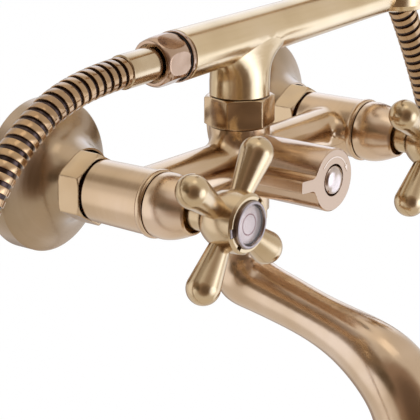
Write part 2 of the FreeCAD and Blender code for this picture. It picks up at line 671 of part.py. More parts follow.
def knob():
    """The diverter knob: a plain cylinder with one grip fin along its side."""
    barrel = turned([
        (KNOB_START, 0), (KNOB_START, KNOB_RADIUS), (KNOB_FRONT - KNOB_EDGE, KNOB_RADIUS),
        (KNOB_FRONT, KNOB_RADIUS - KNOB_EDGE), (KNOB_FRONT, 0),
    ])
    fin_length = KNOB_FRONT - FIN_START
    half = FIN_THICKNESS / 2
    root_half = half + FIN_ROOT_FILLET * 0.75
    root = math.sqrt(KNOB_RADIUS ** 2 - root_half ** 2) - 0.2
    start = Vector(0, half + FIN_ROOT_FILLET, FIN_START)
    corner = Vector(root, root_half, FIN_START)
    bend = Vector(root + 0.32 * FIN_ROOT_FILLET, half + 0.28 * FIN_ROOT_FILLET, FIN_START)
    flat = Vector(root + FIN_ROOT_FILLET, half, FIN_START)
    tip = Vector(FIN_REACH - 0.6, half, FIN_START)
    nose = Vector(FIN_REACH, half - 0.6, FIN_START)

    def mirrored(point):
        return Vector(point.x, -point.y, point.z)

    edges = [
        Part.LineSegment(start, corner).toShape(),
        Part.Arc(corner, bend, flat).toShape(),
        Part.LineSegment(flat, tip).toShape(),
        Part.LineSegment(tip, nose).toShape(),
        Part.LineSegment(nose, mirrored(nose)).toShape(),
        Part.LineSegment(mirrored(nose), mirrored(tip)).toShape(),
        Part.LineSegment(mirrored(tip), mirrored(flat)).toShape(),
        Part.Arc(mirrored(flat), mirrored(bend), mirrored(corner)).toShape(),
        Part.LineSegment(mirrored(corner), mirrored(start)).toShape(),
        Part.LineSegment(mirrored(start), start).toShape(),
    ]
    fin = Part.Face(Part.Wire(edges)).extrude(Vector(0, 0, fin_length))
    fin.rotate(Vector(0, 0, 0), Vector(0, 0, 1), FIN_TURN)
    flange_room = STUB_END + CARTRIDGE_FLANGE_HEIGHT + FREE_GAP
    cuts = [
        rod(CARTRIDGE_FLANGE_RADIUS + FREE_GAP, KNOB_START, flange_room),
        rod(SPINDLE_RADIUS + SEAT_GAP, KNOB_START, DIVERTER_SPINDLE_END),
        rod(SCREW_RADIUS + SEAT_GAP, KNOB_START, KNOB_FRONT),
        rod(KNOB_BORE_RADIUS, KNOB_FRONT - KNOB_BORE_DEPTH, KNOB_FRONT),
    ]
    solid = barrel.fuse(fin)
    for cut in cuts:
        solid = solid.cut(cut)
    return solid.removeSplitter()


def knob_stud():
    """The bright domed screw in the middle of the knob."""
    seat = KNOB_FRONT - KNOB_BORE_DEPTH
    head = turned([
        (seat, 0), (seat, STUD_RADIUS), (STUD_FRONT - STUD_EDGE - 1, STUD_RADIUS),
        (STUD_FRONT - STUD_EDGE, STUD_RADIUS - 0.3), (STUD_FRONT - 0.4, STUD_RADIUS * 0.6), (STUD_FRONT, 0),
    ], (2, 5))
    shank = rod(SCREW_RADIUS, seat - SCREW_LENGTH, seat)
    return head.fuse(shank)


def diverter_cartridge():
    """The cartridge that the knob turns, screwed into the stub."""
    flange = rod(CARTRIDGE_FLANGE_RADIUS, STUB_END, STUB_END + CARTRIDGE_FLANGE_HEIGHT)
    body = rod(DIVERTER_BORE_RADIUS - SEAT_GAP, CARTRIDGE_START, STUB_END)
    bore = rod(SPINDLE_RADIUS + RUNNING_FIT, CARTRIDGE_START, STUB_END + CARTRIDGE_FLANGE_HEIGHT)
    return flange.fuse(body).cut(bore)


def diverter_spindle():
    shaft = rod(SPINDLE_RADIUS, CARTRIDGE_START, DIVERTER_SPINDLE_END)
    hole = rod(SCREW_RADIUS + SEAT_GAP, DIVERTER_SPINDLE_END - SCREW_LENGTH, DIVERTER_SPINDLE_END)
    return shaft.cut(hole)


def top_nut():
    """The hexagon nut on the top outlet, with the inner lip that holds the split ring."""
    bottom = TOP_NUT_TOP - TOP_NUT_HEIGHT
    solid = hexagon(NUT_FLATS, bottom, TOP_NUT_TOP, TOP_NUT_TURN)
    lip = TOP_STUB_TOP + SPLIT_RING_HEIGHT + 2 * SEAT_GAP
    thread = rod(THREAD_RADIUS + SEAT_GAP, bottom, lip)
    mouth = rod(SWIVEL_BORE_RADIUS + FREE_GAP, bottom, TOP_NUT_TOP)
    return solid.cut(thread.fuse(mouth))


def split_ring():
    """The ring in the tail's groove that keeps the shower arm down."""
    start = TOP_STUB_TOP + SEAT_GAP
    full = ring(SPLIT_RING_RADIUS, groove_radius() + FREE_GAP, start, start + SPLIT_RING_HEIGHT)
    gap = Part.makeBox(SPLIT_RING_RADIUS, 1.5, SPLIT_RING_HEIGHT, Vector(0, -0.75, start))
    return full.cut(gap)


def groove_radius():
    return SWIVEL_BORE_RADIUS - RUNNING_FIT - 1.0


def shower_arm():
    """The cast T: socket and tail on the swivel axis, tapered tube, hose thread and handset holder."""
    tube = turned([
        (-ARM_LEFT, 0), (-ARM_LEFT, ARM_LEFT_RADIUS - 0.4), (-ARM_LEFT + 0.4, ARM_LEFT_RADIUS),
        (HOLDER_DISTANCE, ARM_RIGHT_RADIUS), (HOLDER_DISTANCE, 0),
    ])
    thread = rod(HOSE_THREAD_RADIUS, -ARM_LEFT - HOSE_THREAD_LENGTH, -ARM_LEFT)
    tube = placed(tube.fuse(thread), ARM_FRAME)
    half_pad = [
        (HOLDER_HALF_HEIGHT - HOLDER_EDGE, HOLDER_RADIUS),
        (HOLDER_HALF_HEIGHT - 0.3 * HOLDER_EDGE, HOLDER_RADIUS - 0.3 * HOLDER_EDGE),
        (HOLDER_HALF_HEIGHT, HOLDER_RADIUS - HOLDER_EDGE),
        (HOLDER_HALF_HEIGHT, 0),
    ]
    pad = turned([(-height, radius) for height, radius in reversed(half_pad)] + half_pad)
    pad = placed(pad, Placement(HOLDER_POINT, UPRIGHT))
    rise = ARM_AXIS_HEIGHT - SOCKET_BOTTOM - SOCKET_STRAIGHT
    straight_top = SOCKET_BOTTOM + SOCKET_STRAIGHT
    sections = []
    for share, left, right, half in (
        (0, 1, 1, 1),
        (0.18, 1.01, 1.05, 0.985),
        (0.34, 1.06, 1.17, 0.955),
        (0.49, 1.15, 1.42, 0.91),
        (0.65, 1.32, 1.90, 0.86),
        (0.81, 1.50, 2.50, 0.81),
        (1, 1.60, 2.90, 0.775),
    ):
        low, high = -left * SOCKET_RADIUS, right * SOCKET_RADIUS
        centre = Vector((low + high) / 2, -CHAMBER_DEPTH, straight_top + share * rise)
        long_half = (high - low) / 2
        sections.append(flat_ring(centre, long_half, half * SOCKET_RADIUS))
    flare = Part.makeLoft(sections, True, False)
    socket = placed(rod(SOCKET_RADIUS, SOCKET_BOTTOM, straight_top), SWIVEL_FRAME)
    groove = TOP_STUB_TOP - FREE_GAP + SEAT_GAP
    groove_end = TOP_STUB_TOP + SPLIT_RING_HEIGHT + SEAT_GAP + FREE_GAP
    journal = SWIVEL_BORE_RADIUS - RUNNING_FIT
    tail = placed(turned([
        (ARM_TAIL_BOTTOM, 0), (ARM_TAIL_BOTTOM, journal), (groove, journal), (groove, groove_radius()),
        (groove_end, groove_radius()), (groove_end, journal), (SOCKET_BOTTOM, journal), (SOCKET_BOTTOM, 0),
    ]), SWIVEL_FRAME)
    solid = tube.fuse([pad, flare, socket, tail])
    bores = [
        placed(rod(WATERWAY_RADIUS - 0.5, ARM_TAIL_BOTTOM, ARM_AXIS_HEIGHT), SWIVEL_FRAME),
        placed(rod(WATERWAY_RADIUS, -ARM_LEFT - HOSE_THREAD_LENGTH, 0), ARM_FRAME),
        holder_bore(),
    ]
    for bore in bores:
        solid = solid.cut(bore)
    return solid.removeSplitter()


def flat_ring(centre, along, across):
    """A horizontal ellipse, or a circle, whose start point stays on its front side."""
    if abs(along - across) < 0.001:
        return Part.Wire(Part.makeCircle(along, centre))
    ellipse = Part.Ellipse(centre + Vector(along, 0, 0), centre + Vector(0, across, 0), centre)
    return Part.Wire(ellipse.toShape())


def cone_radius(height):
    share = (height - CONE_BOTTOM) / (CONE_TOP - CONE_BOTTOM)
    return CONE_SMALL_RADIUS + share * (CONE_LARGE_RADIUS - CONE_SMALL_RADIUS)


def holder_bore():
    """The tapered, leaning hole that the handset's cone rests in."""
    reach = 2 * HOLDER_RADIUS
    hole = rod(cone_radius(-reach) + FREE_GAP, -reach, CONE_TOP + 5, cone_radius(CONE_TOP + 5) + FREE_GAP)
    hose_room = rod(cone_radius(CONE_BOTTOM) + FREE_GAP, -reach, 0)
    return placed(hole.fuse(hose_room), HANDSET_FRAME)


def hose_seal():
    """The black ring between the arm's end and the hose nut."""
    start = -ARM_LEFT - SEAL_RING_WIDTH
    return placed(ring(SEAL_RING_RADIUS, HOSE_THREAD_RADIUS, start, -ARM_LEFT), ARM_FRAME)


def collar_ring():
    """The brass ring that sits round the seal."""
    start = -ARM_LEFT - (SEAL_RING_WIDTH + COLLAR_RING_WIDTH) / 2
    inner = SEAL_RING_RADIUS + SEAT_GAP / 2
    return placed(ring(COLLAR_RING_RADIUS, inner, start, start + COLLAR_RING_WIDTH), ARM_FRAME)


def nut_start():
    return ARM_LEFT + SEAL_RING_WIDTH


def hose_nut():
    """The domed hexagon nut of the hose, cut from a ball-ended bar so that its flats show as arches."""
    start = -nut_start() - HOSE_NUT_LENGTH
    end = -nut_start()
    widest = HOSE_NUT_RADIUS
    prism = hexagon(HOSE_NUT_FLATS, start, end, 0)
    dome = turned([
        (start, 0), (start, widest * 0.86), (start + 0.10 * HOSE_NUT_LENGTH, widest * 0.93),
        (start + 0.35 * HOSE_NUT_LENGTH, widest * 0.99), (start + 0.6 * HOSE_NUT_LENGTH, widest),
        (start + 0.85 * HOSE_NUT_LENGTH, widest * 0.97), (end, widest * 0.92), (end, 0),
    ], (1, 6))
    solid = prism.common(dome)
    shoulder = -ARM_LEFT - HOSE_THREAD_LENGTH - FERRULE_FLANGE_HEIGHT - 2 * SEAT_GAP
    solid = solid.cut(rod(HOSE_THREAD_RADIUS + SEAT_GAP, shoulder, end))
    return placed(solid.cut(rod(HOSE_NUT_MOUTH_RADIUS, start, end)), ARM_FRAME)


def hose_ferrule():
    """The sleeve at the left end of the hose, with the flange that the nut pulls on."""
    flange_front = -ARM_LEFT - HOSE_THREAD_LENGTH - SEAT_GAP
    flange_back = flange_front - FERRULE_FLANGE_HEIGHT
    sleeve = turned([
        (-FERRULE_END, 0), (-FERRULE_END, FERRULE_RADIUS - 0.5), (-FERRULE_END + 0.5, FERRULE_RADIUS),
        (flange_back, FERRULE_RADIUS), (flange_back, FERRULE_FLANGE_RADIUS),
        (flange_front, FERRULE_FLANGE_RADIUS), (flange_front, 0),
    ])
    return placed(sleeve.cut(rod(HOSE_BORE_RADIUS, -FERRULE_END, flange_front)), ARM_FRAME)


def cone_nut():
    """The tapered nut at the handset end of the hose, which rests in the holder."""
    thread_start = CONE_TOP - HANDLE_THREAD_LENGTH
    return placed(turned([
        (CONE_BOTTOM, HOSE_BORE_RADIUS), (CONE_BOTTOM, CONE_SMALL_RADIUS),
        (CONE_TOP - 1, cone_radius(CONE_TOP - 1)),
        (CONE_TOP, CONE_LARGE_RADIUS - 0.8), (CONE_TOP, HANDLE_THREAD_RADIUS + SEAT_GAP),
        (thread_start - SEAT_GAP, HANDLE_THREAD_RADIUS + SEAT_GAP),
        (thread_start - SEAT_GAP, HOSE_BORE_RADIUS),
    ]), HANDSET_FRAME)


def head_frame():
    """Local Z runs out of the spray face, square to which the head is turned."""
    lean = Placement(Vector(0, 0, HANDSET_HEAD_HEIGHT), Rotation(Vector(1, 0, 0), 90 + HANDSET_FACE_TILT))
    forward = Placement(Vector(0, 0, HANDSET_HEAD_OFFSET), UPRIGHT)
    return HANDSET_FRAME.multiply(lean).multiply(forward)


def handset_body():
    """The handset: threaded end, waisted handle and bell-shaped head in one piece."""
    grip = CONE_TOP + 0.62 * (HANDSET_HEAD_HEIGHT - CONE_TOP)
    top = HANDSET_HEAD_HEIGHT
    handle = turned([
        (CONE_TOP - HANDLE_THREAD_LENGTH, 0), (CONE_TOP - HANDLE_THREAD_LENGTH, HANDLE_THREAD_RADIUS),
        (CONE_TOP, HANDLE_THREAD_RADIUS), (CONE_TOP, HANDLE_GRIP_RADIUS),
        (CONE_TOP + 5, HANDLE_GRIP_RADIUS), (CONE_TOP + 12, HANDLE_WAIST_RADIUS),
        (grip, HANDLE_GRIP_RADIUS), (top - 12, HANDLE_WAIST_RADIUS), (top, HANDLE_WAIST_RADIUS),
        (top, 0),
    ], (4, 8))
    elbow = Part.makeSphere(HANDLE_WAIST_RADIUS, Vector(0, 0, top))
    depth = HANDSET_HEAD_DEPTH
    bell = turned([
        (-depth * 0.62, 0), (-depth * 0.56, HANDSET_HEAD_RADIUS * 0.30),
        (-depth * 0.36, HANDSET_HEAD_RADIUS * 0.55),
        (-depth * 0.05, HANDSET_HEAD_RADIUS * 0.84), (depth * 0.38, HANDSET_HEAD_RADIUS),
        (depth * 0.5, HANDSET_HEAD_RADIUS), (depth * 0.5, 0),
    ], (0, 4))
    plate_room = rod(
        HANDSET_HEAD_RADIUS - SPRAY_RIM, depth * 0.5 - SPRAY_PLATE_THICKNESS + 1, depth * 0.5)
    solid = placed(handle.fuse(elbow), HANDSET_FRAME).fuse(placed(bell, head_frame()))
    solid = solid.cut(placed(plate_room, head_frame()))
    waterway = rod(HOSE_BORE_RADIUS, CONE_TOP - HANDLE_THREAD_LENGTH, top - 12)
    return solid.cut(placed(waterway, HANDSET_FRAME)).removeSplitter()


def spray_plate():
    """The spray plate, set in the head, with its rings of nozzle holes."""
    front = HANDSET_HEAD_DEPTH * 0.5 + 1
    radius = HANDSET_HEAD_RADIUS - SPRAY_RIM - SEAT_GAP
    plate = turned([
        (front - SPRAY_PLATE_THICKNESS, 0), (front - SPRAY_PLATE_THICKNESS, radius), (front - 1, radius),
        (front - 0.3, radius * 0.9), (front, 0),
    ])
    for share, count in ((0.35, 6), (0.7, 12)):
        for k in range(count):
            angle = 2 * math.pi * k / count
            centre = Vector(share * radius * math.cos(angle), share * radius * math.sin(angle), front - 1.6)
            plate = plate.cut(Part.makeCylinder(0.9, 2, centre))
    return placed(plate, head_frame())


def spout_sections():
    """The spout's line from neck to mouth: (out from the axis, height, slope, radius).

    The slope is how far the line points below the horizontal, in degrees. The table gives the first two
    as shares of the reach and the drop, and the radius as a share of the neck's.
    """
    return [
        (out * SPOUT_REACH, -down * SPOUT_DROP, slope, wide * SPOUT_NECK_RADIUS)
        for out, down, slope, wide in (
            (0, 0.242, 90, 1), (0, 0.310, 90, 1), (0, 0.365, 90, 1.01), (0.007, 0.421, 68, 1.06),
            (0.035, 0.470, 45, 1.13), (0.075, 0.493, 28, 1.09), (0.110, 0.503, 17, 1.03),
            (0.257, 0.534, 13.5, 0.95), (0.452, 0.576, 15.5, 0.925), (0.630, 0.621, 20, 1.06),
            (0.780, 0.676, 30, 1.27), (0.898, 0.754, 49, 1.38), (0.972, 0.868, 71, 1.37),
            (1, 1, 82, 1.33),
        )
    ]


def spout_loft(shrink):
    """A loft through round sections square to the spout's line, each radius less shrink."""
    wires = []
    for out, height, slope, radius in spout_sections():
        angle = math.radians(slope)
        normal = Vector(0, -math.cos(angle), -math.sin(angle))
        circle = Part.Circle(Vector(0, -CHAMBER_DEPTH - out, height), normal, radius - shrink)
        wires.append(Part.Wire(circle.toShape()))
    return Part.makeLoft(wires, True, False)


def mouth_frame():
    """Local Z runs out of the spout's mouth."""
    out, height, slope, _ = spout_sections()[-1]
    angle = math.radians(slope)
    direction = Vector(0, -math.cos(angle), -math.sin(angle))
    return Placement(Vector(0, -CHAMBER_DEPTH - out, height), Rotation(Vector(0, 0, 1), direction))


def spout_body():
    """The spout: grooved tail in the body's socket, collar, and the swept S that widens to its mouth."""
    journal = SPOUT_BORE_RADIUS - RUNNING_FIT
    collar_top = CHAMBER_BOTTOM - SPOUT_TOP_GAP
    collar_bottom = collar_top - SPOUT_COLLAR_HEIGHT
    screw_groove = journal - 1.6
    ring_groove = journal - 1.2
    tail_top = SPOUT_BORE_TOP - 1
    low = grub_height() - GRUB_RADIUS * 0.55 - FREE_GAP
    high = grub_height() + GRUB_RADIUS * 0.55 + FREE_GAP
    ring_low = tail_top - 1.5 - SPOUT_ORING_HEIGHT - SEAT_GAP
    ring_high = tail_top - 1.5
    tail = turned([
        (collar_bottom, 0), (collar_bottom, SPOUT_NECK_RADIUS + 0.1),
        (collar_bottom + 0.7, SPOUT_COLLAR_RADIUS), (collar_top, SPOUT_COLLAR_RADIUS),
        (collar_top, journal), (low, journal), (low, screw_groove), (high, screw_groove), (high, journal),
        (ring_low, journal), (ring_low, ring_groove), (ring_high, ring_groove), (ring_high, journal),
        (tail_top, journal), (tail_top, 0),
    ])
    solid = placed(tail, SWIVEL_FRAME).fuse(spout_loft(0))
    waterway = placed(rod(WATERWAY_RADIUS + 0.5, collar_bottom - 2, tail_top), SWIVEL_FRAME)
    solid = solid.cut(spout_loft(SPOUT_NECK_RADIUS - WATERWAY_RADIUS)).cut(waterway)
    socket = rod(AERATOR_RADIUS, -AERATOR_DEPTH, 1)
    return solid.cut(placed(socket, mouth_frame())).removeSplitter()


def spout_oring():
    """The seal of the spout's tail."""
    top = SPOUT_BORE_TOP - 2.5
    journal = SPOUT_BORE_RADIUS - RUNNING_FIT
    return placed(ring(journal - 0.05, journal - 1.2, top - SPOUT_ORING_HEIGHT, top), SWIVEL_FRAME)


def aerator_ring():
    """The screwed ring in the spout's mouth."""
    outer = AERATOR_RADIUS - SEAT_GAP
    return placed(turned([
        (-AERATOR_DEPTH, outer - AERATOR_RING), (-AERATOR_DEPTH, outer), (0, outer),
        (0, SPOUT_MOUTH_RADIUS - 1), (0.9, SPOUT_MOUTH_RADIUS - 1.3), (0.9, outer - AERATOR_RING),
    ]), mouth_frame())


def aerator_core():
    """The flow straightener: a disc with a grid of holes."""
    radius = AERATOR_RADIUS - 2 * SEAT_GAP - AERATOR_RING
    core = rod(radius, -AERATOR_DEPTH + 1, -0.6)
    pitch = radius / 2
    for row in (-1, 0, 1):
        for column in (-1, 0, 1):
            hole = Vector(row * pitch, column * pitch, -AERATOR_DEPTH)
            core = core.cut(Part.makeCylinder(1.5, AERATOR_DEPTH, hole))
    return placed(core, mouth_frame())


def hose_points():
    """The hose's route in the plane of the arm, from the ferrule round to the cone nut."""
    start = ARM_FRAME.multVec(Vector(0, 0, -FERRULE_END))
    end = HANDSET_FRAME.multVec(Vector(0, 0, CONE_BOTTOM))
    along = ARM_DIRECTION * -1
    out = HANDSET_FRAME.Rotation.multVec(Vector(0, 0, -1))
    loop = [
        Vector(across * HOSE_HALF_WIDTH, -CHAMBER_DEPTH, down * HOSE_DROP)
        for across, down in (
            (-0.764, 0.087), (-0.894, 0.023), (-0.967, -0.067), (-1, -0.223), (-0.995, -0.404),
            (-0.924, -0.594), (-0.766, -0.774), (-0.500, -0.924), (-0.141, -1), (0.261, -0.990),
            (0.609, -0.888), (0.837, -0.727), (0.951, -0.537), (0.995, -0.337), (0.962, -0.138),
        )
    ]
    return [start, start + along * HOSE_LEFT_RUN] + loop + [end + out * HOSE_RIGHT_RUN, end]


def cord_path(points):
    """Straight runs joined by tangent arcs, each arc as large as its two runs allow."""
    edges = []
    here = points[0]
    radii = []
    for before, corner, after in zip(points, points[1:], points[2:]):
        back = before - corner
        ahead = after - corner
        short = min(back.Length, ahead.Length)
        turn = math.pi - back.getAngle(ahead)
        cut = 0.45 * short
        radii.append(cut / math.tan(turn / 2))
        first = corner + back.normalize() * cut
        last = corner + ahead.normalize() * cut
        centre_way = (back + ahead).normalize()
        middle = corner + centre_way * (radii[-1] / math.cos(turn / 2) - radii[-1])
        edges.append(Part.LineSegment(here, first).toShape())
        edges.append(Part.Arc(first, middle, last).toShape())
        here = last
    edges.append(Part.LineSegment(here, points[-1]).toShape())
    return Part.Wire(edges), radii


def hose():
    """The ribbed metal hose with its bore."""
    path, radii = cord_path(hose_points())
    print("hose length", round(path.Length, 1), "radii", [round(r) for r in radii])
    outer = HOSE_DIAMETER / 2
    inner = outer - HOSE_GROOVE_DEPTH
    pitch = (path.Length - 2 * HOSE_DIAMETER) / HOSE_RIBS
    land = pitch * HOSE_LAND_SHARE
    side = (pitch - land) / 3
    stations = []
    for k in range(HOSE_RIBS):
        base = HOSE_DIAMETER + k * pitch
        stations += [
            (base, inner),
            (base + side, outer),
            (base + side + land, outer),
            (base + 2 * side + land, inner),
        ]
    stations = [(0, inner)] + stations + [(path.Length, inner)]
    edges = path.OrderedEdges
    ends = []
    travelled = 0
    for edge in edges:
        ends.append((travelled, travelled + edge.Length, edge))
        travelled += edge.Length
    wires = []
    index = 0
    for distance, radius in stations:
        while index < len(ends) - 1 and distance > ends[index][1]:
            index += 1
        low, _, edge = ends[index]
        parameter = edge.getParameterByLength(min(distance - low, edge.Length))
        tangent = edge.tangentAt(parameter)
        circle = Part.Circle(edge.valueAt(parameter), tangent, radius)
        circle.XAxis = Vector(0, 1, 0)
        wires.append(Part.Wire(circle.toShape()))
    ribbed = Part.makeLoft(wires, True, True)
    first = edges[0]
    direction = first.tangentAt(first.FirstParameter)
    mouth = Part.Wire(Part.makeCircle(HOSE_BORE_RADIUS, path.OrderedVertexes[0].Point, direction))
    bore = path.makePipeShell([mouth], True, False)
    section = math.pi * (((outer + inner) / 2) ** 2 - HOSE_BORE_RADIUS ** 2)
    tube = ribbed.cut(bore)
    print("hose volume", round(tube.Volume), "section times length about", round(section * path.Length))
    return tube


def build():
    save("body_casting", body_casting())
    save("top_nut", placed(top_nut(), SWIVEL_FRAME))
    save("split_ring", placed(split_ring(), SWIVEL_FRAME))
    save("spout_screw", spout_screw())
    save("diverter_cartridge", placed(diverter_cartridge(), DIVERTER_FRAME))
    save("diverter_spindle", placed(diverter_spindle(), DIVERTER_FRAME))
    save("diverter_knob", placed(knob(), DIVERTER_FRAME))
    save("knob_stud", placed(knob_stud(), DIVERTER_FRAME))
    single = {
        "s_union": s_union, "rosette": rosette, "union_nut": union_nut, "union_washer": union_washer,
        "bonnet_cover": cover, "headwork": headwork, "seat_ring": seat_ring, "fixed_disc": fixed_disc,
        "moving_disc": moving_disc, "spindle": spindle, "handle_hub": handle_hub,
        "handle_screw": handle_screw, "cap_bezel": cap_bezel, "index_disc": index_disc,
        "index_lens": index_lens,
    }
    for name, make in single.items():
        shape = make()
        aside = UNION_OFFSET if name == "rosette" else 0
        for side, x in SIDES:
            save(name + "_" + side, placed(shape, valve_frame(x + aside)))
    for number in range(ARM_COUNT):
        arm = handle_arm(number)
        for side, x in SIDES:
            save("handle_arm_" + side + "_" + str(number + 1), placed(arm, valve_frame(x)))
    save("spout_body", spout_body())
    save("spout_oring", spout_oring())
    save("aerator_ring", aerator_ring())
    save("aerator_core", aerator_core())
    save("shower_arm", shower_arm())
    save("hose_seal", hose_seal())
    save("collar_ring", collar_ring())
    save("hose_nut", hose_nut())
    save("hose_ferrule", hose_ferrule())
    save("hose", hose())
    save("cone_nut", cone_nut())
    save("handset_body", handset_body())
    save("spray_plate", spray_plate())


build()
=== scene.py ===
# %% [markdown]
# # A brass bath mixer
#
# This notebook dresses a wall-mounted bath mixer. Its frame comes from a CAD model, so every
# piece already has its real size and place, in metres: X to the right, Y into the wall, Z up.
# Here it gets its camera, its hose, the small forms that a CAD model leaves plain, and its
# satin brass.

# %% Load the frame
import json
import math

import bmesh
import bpy
from mathutils import Matrix, Vector


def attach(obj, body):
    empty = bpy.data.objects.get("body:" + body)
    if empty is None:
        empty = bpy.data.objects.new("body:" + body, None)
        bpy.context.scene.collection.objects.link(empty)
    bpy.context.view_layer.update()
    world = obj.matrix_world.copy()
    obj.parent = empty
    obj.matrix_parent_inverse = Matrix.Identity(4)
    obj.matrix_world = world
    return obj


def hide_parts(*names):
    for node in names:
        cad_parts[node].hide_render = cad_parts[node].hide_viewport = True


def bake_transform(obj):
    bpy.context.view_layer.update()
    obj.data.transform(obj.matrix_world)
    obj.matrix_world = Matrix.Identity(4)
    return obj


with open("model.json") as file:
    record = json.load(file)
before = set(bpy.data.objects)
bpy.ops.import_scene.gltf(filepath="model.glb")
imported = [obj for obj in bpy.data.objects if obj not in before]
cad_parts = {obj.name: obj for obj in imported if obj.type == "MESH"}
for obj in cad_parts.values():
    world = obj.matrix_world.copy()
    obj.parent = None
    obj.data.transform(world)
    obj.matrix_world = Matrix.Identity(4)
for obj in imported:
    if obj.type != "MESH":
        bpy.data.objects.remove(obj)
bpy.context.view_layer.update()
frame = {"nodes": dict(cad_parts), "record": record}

# %% [markdown]
# ## The camera
#
# The mixer is seen from the left, from a little above, through a long lens. The camera could be
# placed by eye, but a long lens shows every error, so its place, turn and lens are written as
# measured values. A camera looks along its own -Z, and to_track_quat turns that axis into the
# wanted direction.

# %% Place the camera
EYE = Vector((-0.6694, -0.5602, 0.2327))
LOOK = Vector((0.7544, 0.5877, -0.2924))
LENS_MM = 170.09
SENSOR_MM = 36
NEAREST_SEEN = 0.01

camera_data = bpy.data.cameras.new("camera")
camera_data.lens = LENS_MM
camera_data.sensor_width = SENSOR_MM
camera_data.clip_start = NEAREST_SEEN
camera = bpy.data.objects.new("camera", camera_data)
camera.location = EYE
camera.rotation_euler = LOOK.to_track_quat("-Z", "Y").to_euler()
bpy.context.scene.collection.objects.link(camera)
bpy.context.scene.camera = camera
turn_round = math.degrees(math.atan2(LOOK.x, LOOK.y))
print("camera", round(turn_round, 1), "degrees round, lens", LENS_MM, "mm")

# %% [markdown]
# ## The hose
#
# The shower hose is a strip of brass wound into a tube: each turn is a smooth band, and the
# next turn begins in a dark groove. It leaves the arm's left end, hangs in one loop of 1.2 m
# and comes back up to the handset. The route is a NURBS curve through a few points. Its own
# bevel would give a plain tube, so the bands are made as a straight tube first, and then every
# vertex is carried onto the curve.

# %% The route of the hose
HOSE_DIAMETER = 0.0132
ARM_Y = -0.055
CURVE_STEPS = 40
HOSE_ROUTE = [
    (-0.07899, 0.05285), (-0.10898, 0.05230), (-0.14058, 0.03663), (-0.16450, 0.00968),
    (-0.17793, -0.02821), (-0.184, -0.09388), (-0.18308, -0.17008), (-0.17002, -0.25007),
    (-0.14094, -0.32585), (-0.092, -0.38900), (-0.02594, -0.421), (0.04802, -0.41679),
    (0.11206, -0.37385), (0.15401, -0.30607), (0.17498, -0.22608), (0.18308, -0.14188),
    (0.17701, -0.05810), (0.14917, 0.01545), (0.12629, 0.05067),
]


def centreline(points, name):
    """The places along a NURBS curve of order 3 with these control points."""
    curve = bpy.data.curves.new(name, "CURVE")
    curve.dimensions = "3D"
    curve.resolution_u = CURVE_STEPS
    spline = curve.splines.new("NURBS")
    spline.points.add(len(points) - 1)
    for control, place in zip(spline.points, points):
        control.co = (*place, 1)
    spline.order_u = 3
    spline.use_endpoint_u = True
    holder = bpy.data.objects.new(name, curve)
    mesh = bpy.data.meshes.new_from_object(holder)
    places = [v.co.copy() for v in mesh.vertices]
    bpy.data.objects.remove(holder)
    bpy.data.meshes.remove(mesh)
    bpy.data.curves.remove(curve)
    return places


hose_line = centreline([(x, ARM_Y, z) for x, z in HOSE_ROUTE], "hose_route")
hose_reach = sum((b - a).length for a, b in zip(hose_line, hose_line[1:]))
print("hose line", len(hose_line), "places,", round(hose_reach, 4), "m")

# %% [markdown]
# A tube that is made straight along Z is carried onto the route vertex by vertex. At each place
# of the route stand two unit vectors square to it, one to the side and one up. A vertex goes as
# far along the route as it was high, and keeps its distance from the middle. The hose lies in
# one plane, so its side vector is the same all along.

# %% Carry a straight piece onto the route
SIDEWAYS = Vector((0, 1, 0))


def line_frames(places):
    """The distance along the line, the place and the up vector at each of its places."""
    frames = []
    travelled = 0.0
    for index, place in enumerate(places):
        before = places[max(index - 1, 0)]
        after = places[min(index + 1, len(places) - 1)]
        tangent = (after - before).normalized()
        frames.append((travelled, place, tangent.cross(SIDEWAYS).normalized()))
        travelled += (after - place).length
    return frames


def carry(mesh_data, frames):
    """Moves every vertex of a piece made along Z onto the line."""
    index = 0
    for vertex in sorted(mesh_data.verts, key=lambda v: v.co.z):
        height = vertex.co.z
        while index < len(frames) - 2 and height > frames[index + 1][0]:
            index += 1
        (start, low_place, low_up), (end, high_place, high_up) = frames[index:index + 2]
        share = (height - start) / (end - start)
        up = low_up.lerp(high_up, share).normalized()
        place = low_place.lerp(high_place, share)
        vertex.co = place + SIDEWAYS * vertex.co.x + up * vertex.co.y


hose_frames = line_frames(hose_line)
print("frames along the hose:", len(hose_frames))

# %% [markdown]
# ## Turned shapes
#
# Bands, studs and discs are all turned shapes: a profile spun once round an axis. A bmesh is
# only data, and it becomes visible once a mesh in an object takes it over. Its faces are then
# shaded smooth, and edges that are sharper than a given angle stay crisp.

# %% Spin a profile, make an object
WELD = 1e-6


def spin_round(mesh_data, profile, steps, use_merge):
    """Spins a profile of (radius, height) points once round Z."""
    points = [mesh_data.verts.new((radius, 0, height)) for radius, height in profile]
    edges = [mesh_data.edges.new(pair) for pair in zip(points, points[1:])]
    bmesh.ops.spin(
        mesh_data, geom=points + edges, cent=(0, 0, 0), axis=(0, 0, 1), dvec=(0, 0, 0),
        angle=math.tau, steps=steps, use_merge=use_merge, use_duplicate=False)


def object_from(mesh_data, name, smooth_angle=30):
    """A new object from a bmesh, shaded smooth except at its sharp edges."""
    mesh = bpy.data.meshes.new(name)
    mesh_data.to_mesh(mesh)
    mesh_data.free()
    mesh.shade_smooth()
    mesh.set_sharp_from_angle(angle=math.radians(smooth_angle))
    piece = bpy.data.objects.new(name, mesh)
    bpy.context.scene.collection.objects.link(piece)
    return piece


print("vertices closer than", WELD, "m are welded")

